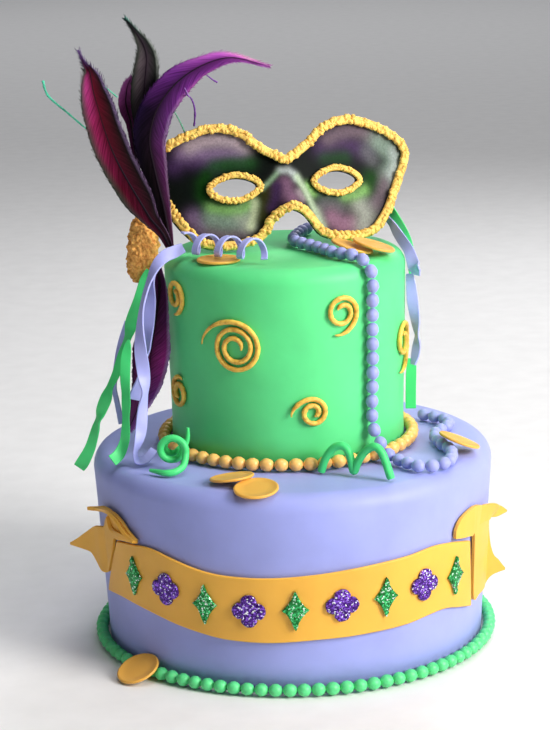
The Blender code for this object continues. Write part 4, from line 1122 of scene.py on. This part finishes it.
def makePlume(name, plumeSet):
    placeAt, count, frames = stripSheet(plumeSet["rows"], 8)
    bm = bmesh.new()
    tint = bm.verts.layers.float_color.new("tint")
    uvLayer = bm.loops.layers.uv.verify()
    dice = random.Random(len(name) * 13)
    nicks = [[dice.uniform(-0.05, 0.03) for side in (0, 1)] for i in range(count + 1)]
    mirrored = frames[0][1].x < 0

    def tone(s, t):
        return tintAt(plumeSet, s, 1.0 - t if mirrored else t)

    def vane(s, t):
        i = min(int(s * count + 0.5), count)
        centre, across, normal, half = frames[i]
        place = 2 * t - 1
        rough = 1.0 + (nicks[i][0 if place < 0 else 1] if abs(place) > 0.95 else 0.0)
        hollow = 0.16 * half * (abs(place) ** 1.3 - 0.35)
        ripple = 0.25 * math.sin(s * 60 + place * 2) * place * place
        return centre + across * half * place * rough - normal * (hollow + ripple)

    made = bmesh.ops.create_grid(bm, x_segments=count, y_segments=16, size=0.5)["verts"]
    where = {}
    for vert in made:
        s, t = vert.co.x + 0.5, vert.co.y + 0.5
        where[vert] = (s, t)
        vert[tint] = (*tone(s, t), 1.0)
    for face in bm.faces:
        for loop in face.loops:
            s, t = where[loop.vert]
            loop[uvLayer].uv = (s + 0.10 * abs(2 * t - 1), t)
    for vert in made:
        vert.co = vane(*where[vert])
    bmesh.ops.solidify(bm, geom=bm.faces[:], thickness=0.5)
    # loose barbs along both edges
    length = sum((b[0] - a[0]).length for a, b in zip(frames, frames[1:]))
    for side in (-1, 1):
        for k in range(int(length / 0.9)):
            s = min(0.995, max(0.12, (k + dice.random()) / (length / 0.9)))
            i = min(int(s * count), count - 1)
            centre, across, normal, half = frames[i]
            ahead = (frames[i + 1][0] - frames[i][0]).normalized()
            root = vane(s, 0.5 + side * 0.47)
            reach = plumeSet["fringe"] * dice.uniform(0.4, 1.3)
            tip = root + ahead * reach * dice.uniform(1.1, 2.0)
            tip += across * side * reach * dice.uniform(0.4, 0.9)
            tip -= normal * dice.uniform(-0.4, 0.4)
            barb = bmesh.ops.create_cone(
                bm, segments=3, radius1=0.32, radius2=0.05, depth=(tip - root).length
            )["verts"]
            turn = (tip - root).to_track_quat("Z", "Y").to_matrix().to_4x4()
            bmesh.ops.transform(bm, matrix=Matrix.Translation((root + tip) / 2) @ turn, verts=barb)
            colour = tone(s, 0.5 + side * dice.uniform(0.42, 0.5)) * dice.uniform(0.7, 1.3)
            for vert in barb:
                vert[tint] = (*colour, 1.0)
    # the quill
    quill = [f[0] - f[2] * -0.3 for f in frames[: int(count * 0.96)]]
    radii = [0.9 - 0.75 * i / len(quill) for i in range(len(quill))]
    for vert in ropeInto(bm, quill, radii, None, 6):
        vert[tint] = (0.012, 0.006, 0.012, 1.0)
    bmesh.ops.recalc_face_normals(bm, faces=bm.faces)
    return finishPiece(name, bm, plume, [plumeSet["node"]], plumeSet["slot"])


for key, plumeSet in plumes.items():
    makePlume("plume" + key.capitalize(), plumeSet)

wisps = {
    "wispTeal": (
        [(-112, -9, 326), (-118, 6, 333), (-132, 6, 345), (-143, 6, 355), (-155, 7, 366), (-158, 7, 376)],
        0.8, (0.10, 0.55, 0.36),
    ),
    "wispPurple": (
        [(-64.6, -6, 366.3), (-62.1, 2, 363.8), (-60.2, 10, 358.3), (-59.7, 16, 351), (-60.7, 20, 342.6)],
        0.7, (0.16, 0.05, 0.30),
    ),
    "wispGreen": (
        [(-72.2, -5, 355.4), (-69.7, 4, 348.7), (-67, 12, 340.4), (-66.4, 22, 333.1)], 0.7, (0.14, 0.36, 0.26)
    ),
    "wispCurl": (
        [(-52.4, 0, 379.4), (-49.2, 0, 376.8), (-46.7, 0, 374.8), (-43.8, 0, 373.1)], 0.6, (0.20, 0.07, 0.34)
    ),
    "wispLilac": ([(-65, -4, 370.6), (-63.6, -4, 367.2), (-62.4, -4, 364.6)], 0.6, (0.30, 0.14, 0.44)),
    "wispMint": ([(-116.4, -7, 372.6), (-113.7, -2, 369.3), (-109.5, 2, 364.8)], 0.6, (0.12, 0.50, 0.34)),
}


def makeWisp(name, rows, radius, colour):
    bm = bmesh.new()
    tint = bm.verts.layers.float_color.new("tint")
    line = [Vector(p) for p in smoothLine(rows, 8)]
    dice = random.Random(len(name))
    radii = [radius * (0.5 + 0.6 * i / len(line)) * dice.uniform(0.8, 1.2) for i in range(len(line))]
    ropeInto(bm, line, radii, None, 6)
    for vert in bm.verts:
        vert[tint] = (*(Vector(colour) * dice.uniform(0.7, 1.3)), 1.0)
    bmesh.ops.recalc_face_normals(bm, faces=bm.faces)
    stands = ["feather_wisp"] if name == "wispTeal" else []
    slotName = "feather_teal" if name in ("wispTeal", "wispGreen", "wispMint") else "feather_purple"
    return finishPiece(name, bm, plume, stands, slotName)


for name, (rows, radius, colour) in wisps.items():
    makeWisp(name, rows, radius, colour)
print("plumes set")

# ribbons of rolled fondant
ribbons = {
    "ribbon_lavender_left": [
        (-68, -27, 269.6, 6.5, 15), (-73.5, -30, 267.6, 8, 10), (-80, -33, 265.2, 8, 14),
        (-85.6, -35.5, 259.6, 7.5, 40), (-90, -38, 250.8, 8, 68), (-93.1, -41, 242.3, 8, 72),
        (-95.5, -44, 232.4, 8, 70), (-96.8, -46, 219.7, 8, 50), (-96.8, -48, 206.9, 8.6, 20),
        (-95.5, -50, 195.4, 8.6, 0), (-94.7, -52, 186.5, 8.2, -35), (-94.5, -54, 179.7, 8, -66),
        (-96.2, -56, 170.2, 7.5, -40), (-97.4, -59, 157.6, 7.5, -15), (-99.3, -62, 149.1, 7, -40),
        (-101.6, -62.5, 142, 6, -65), (-100.4, -61.5, 136.6, 6, -60), (-95, -58, 136.6, 6, -30),
        (-90, -53, 141.5, 5, -20),
    ],
    "ribbon_lavender_short": [
        (-87.4, -29, 256.3, 6, 55), (-89, -30, 247.9, 6, 60), (-90.2, -32, 236.4, 8, 30),
        (-91.8, -34, 223.8, 8.6, 20), (-92.7, -35, 210.9, 8, 50), (-93, -35, 203.1, 8, 75),
        (-95.5, -35.5, 194, 8, 105), (-98.8, -36, 183.6, 8, 125), (-101.3, -36, 175.8, 8.6, 150),
        (-103, -36, 170.7, 8.8, 170),
    ],
    "ribbon_green_long": [
        (-91.6, -15, 253, 4, 0), (-95.3, -17, 246.8, 5, 0), (-99, -20, 234.1, 6.5, 0),
        (-103.3, -20, 221.2, 8.4, 0), (-106.8, -21, 208.9, 8, 60), (-111, -22, 197.8, 7, 45),
        (-115, -24, 185.9, 6, 30), (-119.3, -26, 177.4, 6, 50), (-122.4, -27, 169.3, 8, 10),
        (-125.6, -26, 161.6, 7.5, 20), (-128.2, -25, 154.6, 7, 65), (-130.6, -24, 146.8, 6.4, 30),
        (-134.6, -22, 134.6, 7.2, 10), (-139.8, -21, 124.8, 8.6, 0), (-142.7, -20, 120.7, 8, 0),
    ],
    "ribbon_green_short": [
        (-105.6, -28.5, 209.5, 1.4, 20), (-106.5, -30, 205.3, 5, 20), (-107.9, -33, 196.4, 6.8, 0),
        (-108.3, -37, 185.3, 6.6, 0),
        (-108, -40, 176.6, 6, 20), (-107.9, -43, 169.2, 6, 10), (-108.1, -46, 160.8, 5, 20),
        (-108.4, -50, 152.1, 6, 0), (-109.3, -54, 146.4, 6.4, 0), (-112.5, -58, 140, 7.6, 0),
        (-116.9, -61, 136.6, 8, 0),
    ],
    "ribbon_lavender_back": [
        (-107.1, -10, 217.3, 5, 30), (-112.4, -9, 201.5, 5, 20), (-115.9, -9, 185.9, 4.5, 20),
        (-118.1, -9, 173.6, 4, 30), (-116.3, -11, 163, 4, 30), (-113.7, -14, 148.6, 4.5, 30),
    ],
    "ribbon_lavender_right": [
        (60.4, 46, 277.4, 6, 60), (65.6, 41.6, 275.6, 6, 50), (69.4, 35, 272.6, 6, 40),
        (72.2, 20, 269.4, 7, 25), (75.6, 7, 265.5, 7, 10), (79.4, -3, 260.5, 7, 5), (81.4, -11, 254.6, 8, 10),
        (82.8, -15, 250.7, 9, 30), (85.9, -18, 247.9, 7, 60),
    ],
    "ribbon_green_back_right": [
        (61.7, 54, 288, 6, 40), (66.1, 50, 284.4, 6.4, 30), (69.8, 43, 279.8, 6.4, 20),
        (73.4, 34, 274.6, 6.4, 15), (76.7, 23, 269.4, 6.4, 10), (79.4, 12, 263, 6.4, 0),
        (81.4, 1, 252.4, 6, 0),
        (82.2, -3, 243.6, 5, 0),
    ],
    "ribbon_twisted_right": [
        (79.4, -12, 246.4, 5, 20), (80.3, -12, 238.8, 6.5, 10), (81.2, -13, 228.9, 7.5, 5),
        (82.7, -14, 216.9, 7, 30), (83.4, -15, 209.7, 7, 60), (83.8, -16, 204.9, 7, 75),
        (83.4, -17, 198.4, 6.5, 40), (82.3, -18, 191.9, 6, 35), (80.8, -19, 186.5, 5, 60),
    ],
    "ribbon_green_low_right": [
        (80.9, -5, 187.5, 6, 0), (80.3, -6, 176.5, 7, 0), (80, -6, 166.2, 7, 0), (79.9, -6.5, 153.4, 7, 0),
    ],
}
for node, rows in ribbons.items():
    placeAt, count, frames = stripSheet(rows, 6)
    green = "green" in node
    fondantSheet(
        pieceName(node), placeAt, count, 4, 1.25, greenStrip if green else lavenderStrip, [node],
        "ribbon_green" if green else "ribbon_lavender", 0.35,
    )


def springLine(centre, axis, radius, turns, length, count, start=0.0):
    along = Vector(axis).normalized()
    side = along.cross(Vector((0, 0, 1))).normalized()
    up = side.cross(along)
    line = []
    for i in range(count + 1):
        angle = math.radians(start) + 2 * math.pi * turns * i / count
        middle = Vector(centre) + along * (length * (i / count - 0.5))
        line.append(middle + (side * math.cos(angle) + up * math.sin(angle)) * radius)
    return line


def woundRibbon(name, centre, axis, radius, turns, length, width, thick, start, stands):
    count = 160
    line = springLine(centre, axis, radius, turns, length, count, start)
    ahead = headings(line)
    along = Vector(axis).normalized()

    def placeAt(s, t):
        i = min(int(s * count + 0.5), count)
        middle = Vector(centre) + along * (length * (i / count - 0.5))
        out = (line[i] - middle).normalized()
        return line[i] + ahead[i].cross(out).normalized() * width * (t - 0.5)

    return fondantSheet(name, placeAt, count, 4, thick, lavenderStrip, stands, "ribbon_lavender", 0.35)


woundRibbon(
    "lavenderCoil", (-42.0, -42.0, top + 10.5), (1.0, -0.62, 0.0), 6.6, 3.5, 60.0, 4.4, 1.25, 75.0,
    ["lavender_coil"],
)


def fondantRope(name, line, radius, material, stands, slotName, ends=0.45):
    bm = bmesh.new()
    count = len(line)
    radii = [radius * min(1.0, ends + 7.0 * min(i, count - 1 - i) / count) for i in range(count)]
    ropeInto(bm, line, radii, None, 14)
    bmesh.ops.recalc_face_normals(bm, faces=bm.faces)
    return finishPiece(name, bm, material, stands, slotName, 60)


greenCoil = [
    (-91.3, -79.5, 135.0), (-86.8, -82.6, 135.0), (-81.3, -86.4, 135.0), (-75.2, -86.0, 135.4),
    (-70.0, -81.5, 138.0),
]
for k in range(22):
    t = k / 21
    angle, reach = math.radians(-15.0 + 700.0 * t), 8.9 - 4.3 * t
    greenCoil.append((-76.9 + reach * math.cos(angle), -77.0 + 14.0 * t, 146.6 + reach * math.sin(angle)))
greenCoil += [(-69.5, -60.5, 146.0), (-67.6, -60.0, 151.0), (-67.2, -60.0, 157.5)]
fondantRope(
    "greenCoil", [Vector(p) for p in smoothLine(greenCoil, 8)], 2.3, greenStrip, ["green_coil"],
    "ribbon_green"
)
arches = [
    (18.2, -84.9, 133.4), (20.2, -85.6, 140.5), (23.4, -86.6, 146.3), (27.2, -88.0, 150.3),
    (31.6, -89.7, 151.5),
    (35.0, -91.1, 149.0), (37.0, -91.9, 143.0), (38.7, -92.6, 135.6), (41.6, -94.0, 142.6),
    (45.3, -95.9, 148.6),
    (48.9, -97.8, 152.2), (52.2, -99.4, 153.2), (55.4, -101.0, 150.9), (58.0, -102.3, 145.4),
    (61.7, -104.3, 133.6),
]
arches = [Vector(p) for p in smoothLine(arches, 8)]
fondantRope("greenArches", arches, 2.65, greenStrip, ["green_arches"], "ribbon_green", 0.9)
print("ribbons and coils laid")

# coins: (x, y, z, turn, tilt, roll)
coinForm = {"radius": 14.2, "thick": 1.8, "bevel": 0.45, "rim": 1.4}
coins = {
    "coin_1": (-45.0, -39.0, top + 1.3, 0.0, 0.0, 0.0),
    "coin_2": (41.6, -24.2, top + 5.5, 0.0, 0.0, 17.0),
    "coin_3": (55.6, -25.0, top + 6.2, 0.0, 0.0, 16.0),
    "coin_4": (-38.5, -101.5, shelf + 3.9, 41.0, -9.0, 0.0),
    "coin_5": (-23.0, -120.5, shelf + 1.9, -11.0, 9.0, 0.0),
    "coin_6": (109.8, -40.0, shelf + 8.2, 0.0, -5.0, 21.0),
    "coin_7": (-102.5, -97.0, 7.2, -46.6, 24.0, 0.0),
}


def makeCoin(node, x, y, z, turn, tilt, roll):
    radius, half, bevel, rim = coinForm["radius"], coinForm["thick"] / 2, coinForm["bevel"], coinForm["rim"]
    outline = [
        (0.0, -half), (radius - 0.5, -half), (radius, -half + bevel), (radius, half - bevel),
        (radius - 0.5, half),
        (radius - rim, half), (radius - rim - 0.5, half - 0.3), (radius * 0.5, half - 0.35),
        (0.0, half - 0.3),
    ]
    bm = bmesh.new()
    verts = [bm.verts.new((r, 0.0, h)) for r, h in outline]
    edges = [bm.edges.new(pair) for pair in zip(verts, verts[1:])]
    bmesh.ops.spin(
        bm, geom=verts + edges, cent=(0, 0, 0), axis=(0, 0, 1), angle=2 * math.pi, steps=64, use_merge=True
    )
    bmesh.ops.remove_doubles(bm, verts=bm.verts, dist=0.01)
    bmesh.ops.recalc_face_normals(bm, faces=bm.faces)
    turned = Matrix.Rotation(math.radians(turn), 4, "Z") @ Matrix.Rotation(math.radians(tilt), 4, "X")
    turned = turned @ Matrix.Rotation(math.radians(roll), 4, "Y")
    bmesh.ops.transform(bm, matrix=Matrix.Translation((x, y, z)) @ turned, verts=bm.verts)
    return finishPiece(pieceName(node), bm, goldCoin, [node], "coin_gold", 50)


for node, numbers in coins.items():
    makeCoin(node, *numbers)

# the crumbly gold mound behind the mask's left end
mound = {"x": -100.5, "y": -3.0, "z": top + 3.0, "reach": 21.0, "wide": 10.2}
bm = bmesh.new()
bmesh.ops.create_icosphere(bm, subdivisions=6, radius=1.0)
for vert in bm.verts:
    t = 0.5 - vert.co.z / 2
    x = mound["x"] + 4.0 * t + 2.5 * math.sin(math.pi * t)
    middle = Vector((x, mound["y"], mound["z"] - vert.co.z * mound["reach"] * 1.05))
    side = Vector((vert.co.x, vert.co.y, 0.0))
    vert.co = middle + side * mound["wide"]
bmesh.ops.recalc_face_normals(bm, faces=bm.faces)
roughen(bm, bm.verts, 4.0, 1.5, 1.0)
roughen(bm, bm.verts, 1.7, 1.3, 2.0)
roughen(bm, bm.verts, 0.7, 0.6, 3.0)
finishPiece("goldMound", bm, goldCrumb, ["gold_mound"], "gold_crumb")
print("coins and mound set")

# floor, light and camera
floor = bpy.data.objects.new("floor", bpy.data.meshes.new("floor"))
bm = bmesh.new()
bmesh.ops.create_grid(bm, x_segments=1, y_segments=1, size=14.0)
bmesh.ops.translate(bm, vec=(0, 0, -0.0005), verts=bm.verts)
bm.to_mesh(floor.data)
bm.free()
bpy.context.scene.collection.objects.link(floor)
floorPaint, tree, shader, coords = newMaterial("floorPaint")
grainy = addNoise(tree, coords, 40, 3)
addTone(tree, shader, grainy.outputs["Fac"], [(0.3, (0.78, 0.78, 0.79)), (0.7, (0.82, 0.82, 0.83))])
shader.inputs["Roughness"].default_value = 0.7
floor.data.materials.append(floorPaint)

world = bpy.data.worlds.new("studio")
bpy.context.scene.world = world
world.use_nodes = True
world.node_tree.nodes["Background"].inputs["Color"].default_value = (0.92, 0.94, 1.0, 1.0)
world.node_tree.nodes["Background"].inputs["Strength"].default_value = 0.1


def softLamp(name, place, target, size, power, colour):
    data = bpy.data.lights.new(name, "AREA")
    data.shape, data.size, data.energy, data.color = "DISK", size, power, colour
    lamp = bpy.data.objects.new(name, data)
    lamp.location = place
    lamp.rotation_mode = "QUATERNION"
    lamp.rotation_quaternion = (Vector(target) - Vector(place)).to_track_quat("-Z", "Y")
    lamp.visible_glossy = name != "wash"
    bpy.context.scene.collection.objects.link(lamp)


lamps = {
    "key": ((1.45, -0.98, 1.0), (0, 0, 0.18), 1.0, 51.0, (1.0, 0.97, 0.93)),
    "top": ((0.3, -0.35, 2.2), (0, 0, 0.18), 1.2, 16.0, (1.0, 0.99, 0.97)),
    "fill": ((-1.2, -1.2, 0.8), (0, 0, 0.18), 1.2, 1.0, (0.9, 0.95, 1.0)),
    "back": ((0.5, 1.3, 1.2), (0, 0, 0.18), 0.9, 10.0, (1.0, 1.0, 1.0)),
    "wash": ((0.0, 5.0, 4.0), (0, 4.5, 0), 4.0, 90.0, (1.0, 1.0, 1.0)),
}
for name, (place, target, size, power, colour) in lamps.items():
    softLamp(name, place, target, size, power, colour)

# solved from the photo: the sizes are in metres and radians
view = {"height": 0.5271, "back": -1.4328, "yaw": -0.0073, "pitch": 0.2353, "roll": -0.0219, "focal": 2200.0}
level = math.cos(view["pitch"])
forward = Vector((math.sin(view["yaw"]) * level, math.cos(view["yaw"]) * level, -math.sin(view["pitch"])))
right = Vector((math.cos(view["yaw"]), -math.sin(view["yaw"]), 0.0))
up = right.cross(forward)
levelRight = right * math.cos(view["roll"]) + up * math.sin(view["roll"])
levelUp = up * math.cos(view["roll"]) - right * math.sin(view["roll"])
lens = bpy.data.cameras.new("camera")
lens.sensor_width = 36.0
lens.lens = view["focal"] * 36.0 / 730.0
camera = bpy.data.objects.new("camera", lens)
camera.matrix_world = Matrix.Translation((0.0, view["back"], view["height"])) @ Matrix(
    (levelRight, levelUp, -forward)
).transposed().to_4x4()
bpy.context.scene.collection.objects.link(camera)
bpy.context.scene.camera = camera
bpy.context.scene.view_settings.view_transform = "Standard"

print("scene ready")
